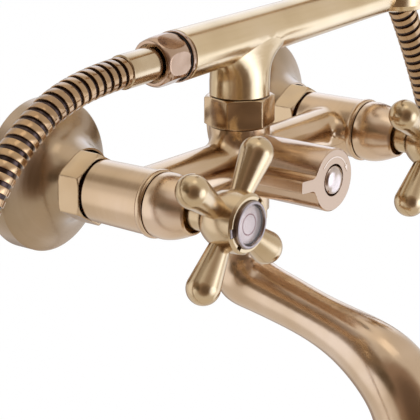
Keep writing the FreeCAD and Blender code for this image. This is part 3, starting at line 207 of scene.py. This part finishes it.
# %% [markdown]
# ## The wound bands
#
# A full spin of the bands' profile gives closed rings. To wind them like a real strip, every
# vertex is raised by its share of one turn. At the seam the shift is exactly one pitch, so the
# last column of vertices meets the first one, one band higher, and merging doubles closes it.
# The strip begins a band before the route and runs on a band after it, inside the fittings
# there.

# %% The bands of the hose
BAND_PITCH = 0.0046
SIDES = 24
# One turn as (share of the pitch, share of the radius): groove, shoulder, band, shoulder.
BAND = [
    (0.00, 0.87), (0.37, 0.87), (0.375, 0.955), (0.40, 0.985), (0.44, 1.0), (0.97, 1.0),
    (0.99, 0.985), (0.998, 0.955),
]
GROOVE_TOP = 0.93
BAND_SMOOTH_ANGLE = 28

bands = int(hose_reach / BAND_PITCH)
pitch = hose_reach / bands
tube = bmesh.new()
band_profile = [
    (swell * HOSE_DIAMETER / 2, (turn + share) * pitch)
    for turn in range(-1, bands) for share, swell in BAND]
spin_round(tube, band_profile, SIDES, use_merge=False)
for index, vertex in enumerate(tube.verts):
    vertex.co.z += pitch * (index // len(band_profile)) / SIDES
bmesh.ops.remove_doubles(tube, verts=tube.verts, dist=WELD)
open_edges = [edge for edge in tube.edges if len(edge.link_faces) == 1]
bmesh.ops.holes_fill(tube, edges=open_edges, sides=0)
bmesh.ops.recalc_face_normals(tube, faces=tube.faces)
depth = tube.verts.layers.float.new("groove")
for vertex in tube.verts:
    vertex[depth] = 1.0 if vertex.co.xy.length < GROOVE_TOP * HOSE_DIAMETER / 2 else 0.0
carry(tube, hose_frames)
hose = object_from(tube, "hose_bands", BAND_SMOOTH_ANGLE)
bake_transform(hose)
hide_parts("hose")
print("hose bands", bands, "pitch", round(pitch * 1000, 2), "mm, faces", len(hose.data.polygons))

# %% [markdown]
# ## Colours and empty materials
#
# Finishes are node trees that end in one Principled shader. A screen's hex colour is brighter
# than the amount of light that it stands for, so it is made linear before a shader gets it.

# %% Start a material
def linear(code):
    """A hex colour as the linear values that a shader wants."""
    values = [int(code[i:i + 2], 16) / 255 for i in (0, 2, 4)]
    return [v / 12.92 if v <= 0.04045 else ((v + 0.055) / 1.055) ** 2.4 for v in values] + [1]


def empty_tree(owner):
    """The cleared node tree of a material or a world."""
    owner.use_nodes = True
    owner.node_tree.nodes.clear()
    return owner.node_tree


def new_material(name):
    """A material, its node tree and its Principled shader."""
    material = bpy.data.materials.new(name)
    tree = empty_tree(material)
    output = tree.nodes.new("ShaderNodeOutputMaterial")
    shader = tree.nodes.new("ShaderNodeBsdfPrincipled")
    tree.links.new(shader.outputs["BSDF"], output.inputs["Surface"])
    return material, tree, shader


print("a screen's half grey is", round(linear("808080")[0], 3), "of white's light")

# %% [markdown]
# Every finish joins the same few nodes, so each gets a helper that returns its output: a noise
# that breaks a surface up, a ramp that colours it, a change of range, a sum, and a mix of two
# colours. The noises read object coordinates, so a pattern stays on its piece when the piece
# moves.

# %% Helpers that join nodes
UNSTRETCHED = (1, 1, 1)
# Most of a noise lies between these values.
NOISE_LOW, NOISE_HIGH = 0.3, 0.7
# Where a Mix node has its share and its two colours, and where it gives the result.
MIX_INPUTS, MIX_OUTPUT = (0, 6, 7), 2


def join(tree, value, socket):
    """Links another node's output to a socket, or sets a plain value on it."""
    if isinstance(value, bpy.types.NodeSocket):
        tree.links.new(value, socket)
    else:
        socket.default_value = value


def noise(tree, stretch, scale, detail=4.0, rough=0.55):
    """A noise on object coordinates, stretched by a scale for each axis."""
    coordinates = tree.nodes.new("ShaderNodeTexCoord")
    mapping = tree.nodes.new("ShaderNodeMapping")
    mapping.inputs["Scale"].default_value = stretch
    texture = tree.nodes.new("ShaderNodeTexNoise")
    texture.inputs["Scale"].default_value = scale
    texture.inputs["Detail"].default_value = detail
    texture.inputs["Roughness"].default_value = rough
    tree.links.new(coordinates.outputs["Object"], mapping.inputs["Vector"])
    tree.links.new(mapping.outputs["Vector"], texture.inputs["Vector"])
    return texture.outputs["Fac"]


def ramp(tree, source, stops):
    """A colour ramp from (position, colour) stops."""
    node = tree.nodes.new("ShaderNodeValToRGB")
    elements = node.color_ramp.elements
    while len(elements) > 1:
        elements.remove(elements[-1])
    elements[0].position, elements[0].color = stops[0]
    for position, colour in stops[1:]:
        elements.new(position).color = colour
    tree.links.new(source, node.inputs["Fac"])
    return node.outputs["Color"]


def ranged(tree, source, low, high, to_low=0.0, to_high=1.0, bend="LINEAR"):
    """Maps the range from low to high onto another one."""
    node = tree.nodes.new("ShaderNodeMapRange")
    node.interpolation_type = bend
    node.inputs["From Min"].default_value = low
    node.inputs["From Max"].default_value = high
    node.inputs["To Min"].default_value = to_low
    node.inputs["To Max"].default_value = to_high
    tree.links.new(source, node.inputs["Value"])
    return node.outputs["Result"]


def calculated(tree, operation, *values):
    """The result of a math node, from numbers or other nodes' outputs."""
    node = tree.nodes.new("ShaderNodeMath")
    node.operation = operation
    for value, socket in zip(values, node.inputs):
        join(tree, value, socket)
    return node.outputs["Value"]


def mixed(tree, share, first, second):
    """Two colours, mixed by a share from 0 to 1."""
    node = tree.nodes.new("ShaderNodeMix")
    node.data_type = "RGBA"
    for value, index in zip((share, first, second), MIX_INPUTS):
        join(tree, value, node.inputs[index])
    return node.outputs[MIX_OUTPUT]


print("noise values are read from", NOISE_LOW, "to", NOISE_HIGH)

# %% [markdown]
# ## Satin brass
#
# Antique brass is brushed, darkened and lacquered. The brushing leaves fine lines, the
# darkening stays in patches and seams, and the lacquer adds a pale gleam over the metal's own
# colour. The dark line at each seam stands for the oxide there, and it is painted shade for the
# joint as well. One flat colour would look like plastic, so the finish is built from noise: a
# stretched one for the brush lines and a slow one for the patches. No machined edge is a
# razor's either: the Bevel node rounds the shading by a few tenths of a millimetre there, and
# that narrow strip catches the light.

# %% The brass recipe
# Seams get dark lines: the oxide in their joints, and painted shade in the gaps.
SEAM_OXIDE_AND_SHADE = linear("5A3E2A")
PATCHES_PER_METRE = 30.0
LINE_STOPS = (0.2, 0.5, 0.8)
PATCH_STOPS = (0.25, 0.52, 0.8)
SEAM_CORE, SEAM_SKIRT, SEAM_DARKNESS = 0.4, 1.8, 0.85
SMOOTHER, ROUGHER = -0.02, 0.03
BEVEL_SAMPLES = 6
LACQUER, LACQUER_ROUGHNESS = 0.3, 0.1


def seam_oxide_and_shade(tree, colour, axis, place, half):
    """Lays oxide and painted shade over a colour, where the object coordinate is near a place."""
    coordinates = tree.nodes.new("ShaderNodeTexCoord")
    split = tree.nodes.new("ShaderNodeSeparateXYZ")
    tree.links.new(coordinates.outputs["Object"], split.inputs["Vector"])
    away = calculated(tree, "ABSOLUTE", calculated(tree, "SUBTRACT", split.outputs[axis], place))
    near = ranged(tree, away, half * SEAM_CORE, half * SEAM_SKIRT, SEAM_DARKNESS, 0.0)
    return mixed(tree, near, colour, SEAM_OXIDE_AND_SHADE)


def brass(name, tones, stretch, rough=0.2, patches=0.85, edge=0.0003, wave=0.0, seams=()):
    """Brushed, darkened, lacquered brass.

    tones are its bright, middle and deep colour, patches is the share of slow colour against
    brush lines, edge the radius by which sharp edges look broken, wave the height of the slow
    unevenness that polishing leaves, and seams are dark lines of oxide and painted shade, each
    (axis, place, half width).
    """
    material, tree, shader = new_material(name)
    lines = noise(tree, stretch, scale=1.0, detail=1.0, rough=0.5)
    cloud = noise(tree, UNSTRETCHED, scale=PATCHES_PER_METRE, detail=2.0, rough=0.5)
    bright, middle, deep = [linear(tone) for tone in tones]
    tone = ramp(tree, cloud, list(zip(PATCH_STOPS, (deep, middle, bright))))
    streak = ramp(tree, lines, list(zip(LINE_STOPS, (deep, middle, bright))))
    colour = mixed(tree, patches, streak, tone)
    for seam in seams:
        colour = seam_oxide_and_shade(tree, colour, *seam)
    tree.links.new(colour, shader.inputs["Base Color"])
    roughness = ranged(tree, lines, NOISE_LOW, NOISE_HIGH, rough + SMOOTHER, rough + ROUGHER)
    tree.links.new(roughness, shader.inputs["Roughness"])
    if edge:
        broken = tree.nodes.new("ShaderNodeBevel")
        broken.samples = BEVEL_SAMPLES
        broken.inputs["Radius"].default_value = edge
        normal = broken.outputs["Normal"]
        if wave:
            polish = tree.nodes.new("ShaderNodeBump")
            polish.inputs["Distance"].default_value = wave
            tree.links.new(cloud, polish.inputs["Height"])
            tree.links.new(normal, polish.inputs["Normal"])
            normal = polish.outputs["Normal"]
        tree.links.new(normal, shader.inputs["Normal"])
    shader.inputs["Metallic"].default_value = 1.0
    shader.inputs["Coat Weight"].default_value = LACQUER
    shader.inputs["Coat Roughness"].default_value = LACQUER_ROUGHNESS
    return material


print("patches of", round(1000 / PATCHES_PER_METRE), "mm")

# %% [markdown]
# The brush lines of a turned part run round its axis, so along that axis the noise changes fast
# and across it slowly. Stretching the coordinates does this with an ordinary noise. Each finish
# is the same recipe with its own tones, direction and polish: cast pieces are duller, the nuts
# are polished and have worn edges, and the hose's ferrule is paler than the nut beside it, a
# painted highlight for the brighter light that it mirrors.

# %% All the brass finishes
# How fast the brush lines change along X, Y and Z, per metre.
ROUND_Y = (60, 1800, 60)
ALONG_X = (40, 1500, 1500)
EVEN = (300, 300, 300)
# Dark lines of oxide and painted shade at the barrel's and the cover's seams.
BARREL_SEAM = ("Y", -0.0403, 0.0004)
COVER_SEAM = ("Y", -0.0727, 0.0003)

BRASSES = {
    "body_brass": (("E0C6AC", "D0B28E", "BA9C74"), ROUND_Y, {"seams": [BARREL_SEAM]}),
    "nut_brass": (("D6BC96", "CAAE88", "B2926A"), EVEN, {
        "rough": 0.14, "patches": 0.95, "edge": 0.0011, "wave": 0.005}),
    "rosette_brass": (("C4AC92", "AC9272", "907856"), ROUND_Y, {"rough": 0.24, "patches": 0.92}),
    "plain_brass": (("E2CDA0", "D6BE8C", "C4A972"), ROUND_Y, {}),
    "cover_brass": (("E4CAB0", "D4B692", "BFA07A"), ROUND_Y, {
        "rough": 0.24, "patches": 0.95, "seams": [COVER_SEAM]}),
    "handle_brass": (("D6BC98", "CAB088", "B89C72"), EVEN, {"rough": 0.22}),
    "knob_brass": (("D8BCA0", "CCAE90", "BA9C7C"), ROUND_Y, {"rough": 0.18}),
    "mark_brass": (("E2CCB6", "DCC6AE", "D2BAA0"), ROUND_Y, {"rough": 0.36}),
    "spout_brass": (("E2CAB2", "D2B696", "BE9F7A"), EVEN, {
        "rough": 0.19, "patches": 1.0, "edge": 0}),
    "arm_brass": (("E0C8A4", "D8BE94", "C6AA7E"), ALONG_X, {"rough": 0.22}),
    "hose_fitting_brass": (("C4A68C", "B29276", "927458"), EVEN, {
        "rough": 0.14, "patches": 0.95, "edge": 0.0007, "wave": 0.004}),
    # The ferrule's paler copy of the nut's brass is a painted highlight.
    "ferrule_brass_painted_highlight": (("D8C2A0", "C4AA84", "A68A64"), EVEN, {"rough": 0.16}),
    "hose_brass": (("CCAA82", "B8946A", "8E6E4E"), EVEN, {"rough": 0.15, "patches": 0.8}),
    "handset_brass": (("D2B694", "C8AB86", "B89A72"), EVEN, {}),
}
MATERIALS = {
    name: brass(name, tones, stretch, **polish)
    for name, (tones, stretch, polish) in BRASSES.items()}
print("brass finishes:", len(MATERIALS))

# %% [markdown]
# Two finishes change within one piece. The knob's flat face is brushed matt: it is darker than
# the knob's side and too rough to mirror anything, and the faces that look along -Y are found
# by their normal. The hose's grooves get a darker colour than its bands, a painted shade for the
# shadow that falls in them, and the attribute that was stored with the bands tells them apart.

# %% The knob's face and the hose's grooves
KNOB_FACE, KNOB_FACE_ROUGH = "B89C80", 0.36
FACE_BEGINS, FACE_FULL = -0.95, -0.99
# The dark colour of the hose's grooves is painted shade.
GROOVE_SHADE = "3A2A24"


def overlay(material, socket_name, where, value):
    """Lays another value over one socket of a finish, where a mask is 1."""
    tree = material.node_tree
    socket = tree.nodes["Principled BSDF"].inputs[socket_name]
    tree.links.new(mixed(tree, where, socket.links[0].from_socket, value), socket)


knob = MATERIALS["knob_brass"]
tree = knob.node_tree
normal = tree.nodes.new("ShaderNodeTexCoord").outputs["Normal"]
facing = tree.nodes.new("ShaderNodeSeparateXYZ")
tree.links.new(normal, facing.inputs["Vector"])
on_face = ranged(tree, facing.outputs["Y"], FACE_BEGINS, FACE_FULL)
overlay(knob, "Base Color", on_face, linear(KNOB_FACE))
overlay(knob, "Roughness", on_face, (KNOB_FACE_ROUGH, KNOB_FACE_ROUGH, KNOB_FACE_ROUGH, 1))

# Painted shade: the grooves take a dark colour for the shadow that falls in them.
in_groove = MATERIALS["hose_brass"].node_tree.nodes.new("ShaderNodeAttribute")
in_groove.attribute_name = "groove"
overlay(MATERIALS["hose_brass"], "Base Color", in_groove.outputs["Fac"], linear(GROOVE_SHADE))
print("knob face roughness", KNOB_FACE_ROUGH)

# %% [markdown]
# ## Steel, pewter, ceramic and rubber
#
# The small and the hidden pieces are not brass: a bright steel stud, the pewter ring of the index
# cap with its clear lens, ceramic discs, rubber seals. They share a simpler recipe, one colour
# that a fine noise breaks up, so a second function takes its colour, gloss and grain.

# %% Plainer finishes
DARKER, LIGHTER = 0.82, 1.12
GLOSSIER, DULLER = 0.85, 1.2
GRAIN_DEPTH = 0.0002


def plain(name, colour, metallic, rough, grain, coat=0.0, bump_size=0.03, alpha=1.0):
    """A plainer finish, with its grain per metre."""
    material, tree, shader = new_material(name)
    fine = noise(tree, UNSTRETCHED, scale=grain, detail=3.0)
    base = linear(colour)
    low = [v * DARKER for v in base[:3]] + [1]
    high = [min(v * LIGHTER, 1) for v in base[:3]] + [1]
    tone = ramp(tree, fine, [(NOISE_LOW, low), (NOISE_HIGH, high)])
    roughness = ranged(tree, fine, NOISE_LOW, NOISE_HIGH, rough * GLOSSIER, rough * DULLER)
    tree.links.new(tone, shader.inputs["Base Color"])
    tree.links.new(roughness, shader.inputs["Roughness"])
    bump = tree.nodes.new("ShaderNodeBump")
    bump.inputs["Strength"].default_value = bump_size
    bump.inputs["Distance"].default_value = GRAIN_DEPTH
    tree.links.new(fine, bump.inputs["Height"])
    tree.links.new(bump.outputs["Normal"], shader.inputs["Normal"])
    shader.inputs["Metallic"].default_value = metallic
    shader.inputs["Coat Weight"].default_value = coat
    shader.inputs["Alpha"].default_value = alpha
    return material


# Colour, metallic, roughness, grain per metre, and what else differs.
PLAIN_FINISHES = {
    "steel": ("D2C0B2", 1.0, 0.16, 300.0, {}),
    "pewter": ("9C8C84", 1.0, 0.22, 300.0, {"coat": 0.2}),
    "silver_disc": ("D0BAAE", 0.75, 0.3, 60.0, {}),
    "clear_lens": ("FAF6F4", 0.0, 0.05, 60.0, {"bump_size": 0.0, "alpha": 0.12}),
    "rubber": ("1C1B1A", 0.0, 0.6, 900.0, {}),
    "ceramic": ("F0EEE8", 0.0, 0.15, 300.0, {}),
    "mesh_plastic": ("D8D8D4", 0.0, 0.45, 600.0, {}),
    "spray_face": ("3A3836", 0.0, 0.5, 600.0, {}),
}
for name, (colour, metallic, rough, grain, more) in PLAIN_FINISHES.items():
    MATERIALS[name] = plain(name, colour, metallic, rough, grain, **more)
print("plainer finishes:", len(PLAIN_FINISHES))

# %% [markdown]
# The record names a material slot for each CAD node, so the nodes are dressed in one loop. The
# hose's ferrule shares its slot with the nut beside it, but it is given a paler finish of its
# own afterwards: a painted highlight, for the brighter light that it mirrors.

# %% Dress the nodes and the hose
slots = {part["node"]: part["material_slot"] for part in frame["record"]["subparts"]}
for name, node in frame["nodes"].items():
    node.data.materials.clear()
    node.data.materials.append(MATERIALS[slots[name]])
# Painted highlight: the ferrule gets the paler copy of its brass.
frame["nodes"]["hose_ferrule"].data.materials[0] = MATERIALS["ferrule_brass_painted_highlight"]
hose.data.materials.append(MATERIALS["hose_brass"])
print("nodes dressed:", len(frame["nodes"]), "slots:", len(set(slots.values())))

# %% [markdown]
# ## Marks on the knob and the caps
#
# A raised curved arrow on the diverter knob's face shows which way it turns. A stamped line has
# a small square section, so a rectangle spun through part of a turn gives the curved stroke,
# and a three-sided extrusion gives the head. Both are made lying in a plane with Z towards the
# viewer, and one matrix stands them up in front of the valve. Their foot lies a little under
# the surface, so that no gap shows.

# %% Arrow on the diverter knob
TOWARDS_USER = Matrix(((1, 0, 0, 0), (0, 0, -1, 0), (0, 1, 0, 0), (0, 0, 0, 1)))
# The middle of the knob's front face.
KNOB_CENTRE = (0, -0.1052, -0.001)
ARROW_RADIUS = 0.0100
ARROW_WIDTH = 0.0008
ARROW_HEIGHT = 0.00016
ARROW_START, ARROW_END, ARROW_TIP = 140.0, 28.0, 10.0
ARROW_HEAD = 0.0011
ARROW_STEPS = 20
STROKE_FOOT, STROKE_TOP, TOP_WIDTH = -0.3, 1.0, 0.64


def stroke(radius, width, height, start, end, steps):
    """A raised line along part of a circle, in the XY plane."""
    line = bmesh.new()
    angle = math.radians(start)
    corners = []
    for side, up, spread in (
            (-0.5, STROKE_FOOT, 1), (0.5, STROKE_FOOT, 1),
            (0.5, STROKE_TOP, TOP_WIDTH), (-0.5, STROKE_TOP, TOP_WIDTH)):
        reach = radius + side * spread * width
        place = (reach * math.cos(angle), reach * math.sin(angle), up * height)
        corners.append(line.verts.new(place))
    face = line.faces.new(corners)
    bmesh.ops.spin(
        line, geom=[face] + list(face.edges) + corners, cent=(0, 0, 0), axis=(0, 0, 1),
        dvec=(0, 0, 0), angle=math.radians(end - start), steps=steps, use_merge=False,
        use_duplicate=False)
    bmesh.ops.recalc_face_normals(line, faces=line.faces)
    return line


def arrow_head():
    """A three-sided plate at the stroke's end, as a mesh."""
    head = bmesh.new()
    corners = []
    for degrees, sideways in ((ARROW_TIP, 0), (ARROW_END, ARROW_HEAD), (ARROW_END, -ARROW_HEAD)):
        angle, reach = math.radians(degrees), ARROW_RADIUS + sideways
        place = (reach * math.cos(angle), reach * math.sin(angle), STROKE_FOOT * ARROW_HEIGHT)
        corners.append(head.verts.new(place))
    grown = bmesh.ops.extrude_face_region(head, geom=[head.faces.new(corners)])
    raised = [item for item in grown["geom"] if isinstance(item, bmesh.types.BMVert)]
    rise = (STROKE_TOP - STROKE_FOOT) * ARROW_HEIGHT
    bmesh.ops.translate(head, verts=raised, vec=(0, 0, rise))
    bmesh.ops.recalc_face_normals(head, faces=head.faces)
    mesh = bpy.data.meshes.new("arrow_head")
    head.to_mesh(mesh)
    head.free()
    return mesh


arrow = stroke(ARROW_RADIUS, ARROW_WIDTH, ARROW_HEIGHT, ARROW_START, ARROW_END, ARROW_STEPS)
head_mesh = arrow_head()
arrow.from_mesh(head_mesh)
bpy.data.meshes.remove(head_mesh)
on_knob = Matrix.Translation(KNOB_CENTRE) @ TOWARDS_USER
bmesh.ops.transform(arrow, matrix=on_knob, verts=arrow.verts)
arrow_piece = object_from(arrow, "knob_arrow")
arrow_piece.data.materials.append(MATERIALS["mark_brass"])
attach(arrow_piece, "diverter")
print("arrow faces", len(arrow_piece.data.polygons))

# %% [markdown]
# The knob is held by a screw, and a polished stud covers it. Its face is a shallow dome, and a
# profile of a few points spun through a full turn gives it. Merging closes the seam and the
# pole.

# %% Stud in the middle of the knob
TURN_STEPS = 64
STUD_RADIUS = 0.0063
# Share of the radius, and height over the knob's face.
STUD_PROFILE = [
    (0.0, -0.006), (1.0, -0.006), (1.0, -0.0006), (0.98, 0.0), (0.92, 0.0005), (0.80, 0.0010),
    (0.62, 0.0014), (0.38, 0.0017), (0.18, 0.0018), (0.0, 0.00183),
]
STUD_SMOOTH_ANGLE = 40


def turned(profile, place, name, smooth_angle=30):
    """A closed turned piece from a profile of (radius, height), stood up at a place."""
    shape = bmesh.new()
    spin_round(shape, profile, TURN_STEPS, use_merge=True)
    bmesh.ops.remove_doubles(shape, verts=shape.verts, dist=WELD)
    bmesh.ops.recalc_face_normals(shape, faces=shape.faces)
    bmesh.ops.transform(shape, matrix=place, verts=shape.verts)
    return object_from(shape, name, smooth_angle)


stud_profile = [(share * STUD_RADIUS, height) for share, height in STUD_PROFILE]
stud = turned(stud_profile, on_knob, "stud_dome", STUD_SMOOTH_ANGLE)
stud.data.materials.append(MATERIALS["steel"])
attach(stud, "diverter")
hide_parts("knob_stud")
print("stud faces", len(stud.data.polygons))

# %% [markdown]
# Each handle's cap holds a silver disc under a clear, domed lens. Seen through a real lens the
# disc seems to lie just under the surface, so it is drawn there, and the lens is only its thin
# dome. The disc stays plain but for one thin printed ring, the kind of neutral mark that any
# cap can carry: warm on the left valve, cool on the right one.

# %% Discs, lenses and rings of the caps
# Radius, and distance in front of the wall.
DISC_PROFILE = [
    (0.0, 0.11185), (0.0080, 0.11185), (0.0080, 0.1164), (0.0076, 0.11655), (0.0, 0.1166)]
LENS_PROFILE = [
    (0.0, 0.11668), (0.0081, 0.11668), (0.0081, 0.1173), (0.0070, 0.1177), (0.0052, 0.11815),
    (0.0030, 0.1184), (0.0, 0.11855),
]
DISC_FRONT = 0.1166
RING_RADIUS = 0.0042
RING_WIDTH = 0.0005
RING_HEIGHT = 0.00004
RING_STEPS = 48
PRINT_ROUGH, PRINT_GRAIN = 0.4, 800.0
VALVES = (("left", -0.075, "hot_handle", "8C3A34"), ("right", 0.075, "cold_handle", "34528C"))

for side, valve_x, body, tint in VALVES:
    on_valve = Matrix.Translation((valve_x, 0, 0)) @ TOWARDS_USER
    for profile, kind, finish in (
            (DISC_PROFILE, "index_disc_", "silver_disc"),
            (LENS_PROFILE, "index_lens_", "clear_lens")):
        piece = turned(profile, on_valve, kind + side + "_round")
        piece.data.materials.append(MATERIALS[finish])
        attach(piece, body)
        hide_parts(kind + side)
    ring = stroke(RING_RADIUS, RING_WIDTH, RING_HEIGHT, 0, 360, RING_STEPS)
    bmesh.ops.remove_doubles(ring, verts=ring.verts, dist=WELD)
    on_disc = Matrix.Translation((valve_x, -DISC_FRONT, 0)) @ TOWARDS_USER
    bmesh.ops.transform(ring, matrix=on_disc, verts=ring.verts)
    ring_piece = object_from(ring, "index_ring_" + side)
    print_finish = plain("index_print_" + side, tint, 0.0, PRINT_ROUGH, PRINT_GRAIN)
    ring_piece.data.materials.append(print_finish)
    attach(ring_piece, body)
print("caps made:", len(VALVES))

# %% [markdown]
# ## The floor
#
# The floor is pale and lies well under the hose's loop. To the camera most of it is its own
# glow, so that it merges with the white backdrop, and the rest is diffuse and keeps the mixer's
# soft shadow. To mirrored rays it is clear, because the metal shows the painted room of the
# next cell instead.

# %% Floor
FLOOR_HEIGHT = -0.55
FLOOR_SIZE = 6.0
FLOOR_COLOUR = (0.9, 0.9, 0.9, 1)
FLOOR_GLOW = 1.06
GLOW_SHARE = 0.85


def mixed_shaders(tree, share, first, second):
    """Two shaders, mixed by a share from 0 to 1."""
    node = tree.nodes.new("ShaderNodeMixShader")
    for source, socket in zip((share, first, second), node.inputs):
        tree.links.new(source, socket)
    return node.outputs["Shader"]


floor_mesh = bmesh.new()
bmesh.ops.create_grid(floor_mesh, x_segments=1, y_segments=1, size=FLOOR_SIZE)
bmesh.ops.translate(floor_mesh, verts=floor_mesh.verts, vec=(0, 0, FLOOR_HEIGHT))
floor = object_from(floor_mesh, "floor")

floor_material = bpy.data.materials.new("floor")
tree = empty_tree(floor_material)
out = tree.nodes.new("ShaderNodeOutputMaterial")
rays = tree.nodes.new("ShaderNodeLightPath")
diffuse = tree.nodes.new("ShaderNodeBsdfDiffuse")
diffuse.inputs["Color"].default_value = FLOOR_COLOUR
glow = tree.nodes.new("ShaderNodeEmission")
glow.inputs["Strength"].default_value = FLOOR_GLOW
seen = calculated(tree, "MULTIPLY", rays.outputs["Is Camera Ray"], GLOW_SHARE)
surface = mixed_shaders(tree, seen, diffuse.outputs[0], glow.outputs[0])
clear = tree.nodes.new("ShaderNodeBsdfTransparent")
surface = mixed_shaders(tree, rays.outputs["Is Glossy Ray"], surface, clear.outputs[0])
tree.links.new(surface, out.inputs["Surface"])
floor.data.materials.append(floor_material)
print("floor at", FLOOR_HEIGHT, "m")

# %% [markdown]
# ## The room in the metal
#
# Metal shows the room that stands around it, so the room is what shapes it. The camera itself
# sees plain white. For the reflections the room is a pale grey with soft zones painted on it:
# bright screens in front, to the right and beside the wall on the left, and dark, warm parts
# behind the camera and high on the left. A zone is a dot product with its direction, and two
# angles say where it starts to fade and where it ends. Later zones are painted over earlier
# ones.

# %% Paint the room
ROOM = (0.82, 0.81, 0.82, 1)
# Degrees round (0 is straight into the wall, 90 to the right) and up, the angles at which the
# zone starts to fade and ends, and its colour.
ZONES = (
    (0, -90, 30, 50, (0.82, 0.79, 0.77)),
    (-135, 12, 38, 54, (0.36, 0.27, 0.22)),
    (-142, 8, 14, 40, (0.18, 0.13, 0.10)),
    (-48, 48, 14, 28, (0.44, 0.40, 0.38)),
    (20, 74, 14, 32, (1.00, 0.97, 0.94)),
    (-48, 2, 22, 38, (1.15, 1.18, 1.28)),
    (30, -22, 12, 26, (0.42, 0.36, 0.32)),
    (58, 24, 12, 26, (1.25, 1.36, 1.60)),
    (122, -28, 12, 26, (1.55, 1.72, 2.10)),
    (163, -6, 18, 30, (1.65, 1.85, 2.35)),
    (-72, 30, 17, 27, (0.26, 0.20, 0.15)),
    (-92, 16, 8, 18, (0.14, 0.11, 0.08)),
)

world = bpy.data.worlds.new("world")
bpy.context.scene.world = world
tree = empty_tree(world)
out = tree.nodes.new("ShaderNodeOutputWorld")
rays = tree.nodes.new("ShaderNodeLightPath")
direction = tree.nodes.new("ShaderNodeTexCoord").outputs["Generated"]


def zone(under, turn, height, inner, outer, colour):
    """Paints one soft round zone over the room's colour."""
    turn, height = math.radians(turn), math.radians(height)
    flat = math.cos(height)
    towards = tree.nodes.new("ShaderNodeVectorMath")
    towards.operation = "DOT_PRODUCT"
    towards.inputs[1].default_value = (
        math.sin(turn) * flat, math.cos(turn) * flat, math.sin(height))
    tree.links.new(direction, towards.inputs[0])
    outside, inside = math.cos(math.radians(outer)), math.cos(math.radians(inner))
    fade = ranged(tree, towards.outputs["Value"], outside, inside, bend="SMOOTHSTEP")
    return mixed(tree, fade, under, (*colour, 1))


painted = ROOM
for values in ZONES:
    painted = zone(painted, *values)
room = tree.nodes.new("ShaderNodeBackground")
tree.links.new(painted, room.inputs["Color"])
white = tree.nodes.new("ShaderNodeBackground")
white.inputs["Color"].default_value = (1, 1, 1, 1)
seen = calculated(
    tree, "MAXIMUM", rays.outputs["Is Camera Ray"], rays.outputs["Is Transmission Ray"])
surface = mixed_shaders(tree, seen, room.outputs[0], white.outputs[0])
tree.links.new(surface, out.inputs["Surface"])
print("zones in the room:", len(ZONES))

# %% [markdown]
# ## Lamps
#
# The room already lights the mixer, so two weak, large lamps are enough: one overhead, and one
# in front on the right. The Standard view shows a colour as it is written.

# %% Lamps and view
MIDDLE = Vector((0, -0.06, 0))


def lamp(name, place, size, power):
    """A soft area lamp that points at the mixer."""
    data = bpy.data.lights.new(name, "AREA")
    data.shape = "RECTANGLE"
    data.size, data.size_y = size
    data.energy = power
    holder = bpy.data.objects.new(name, data)
    holder.location = place
    holder.rotation_euler = (MIDDLE - Vector(place)).to_track_quat("-Z", "Y").to_euler()
    bpy.context.scene.collection.objects.link(holder)


lamp("overhead", (-0.05, -0.45, 1.4), size=(0.6, 0.5), power=0.6)
lamp("right_front", (0.42, -1.40, -0.07), size=(0.5, 0.7), power=1.2)
bpy.context.scene.view_settings.view_transform = "Standard"
print("lamps:", len(bpy.data.lights))
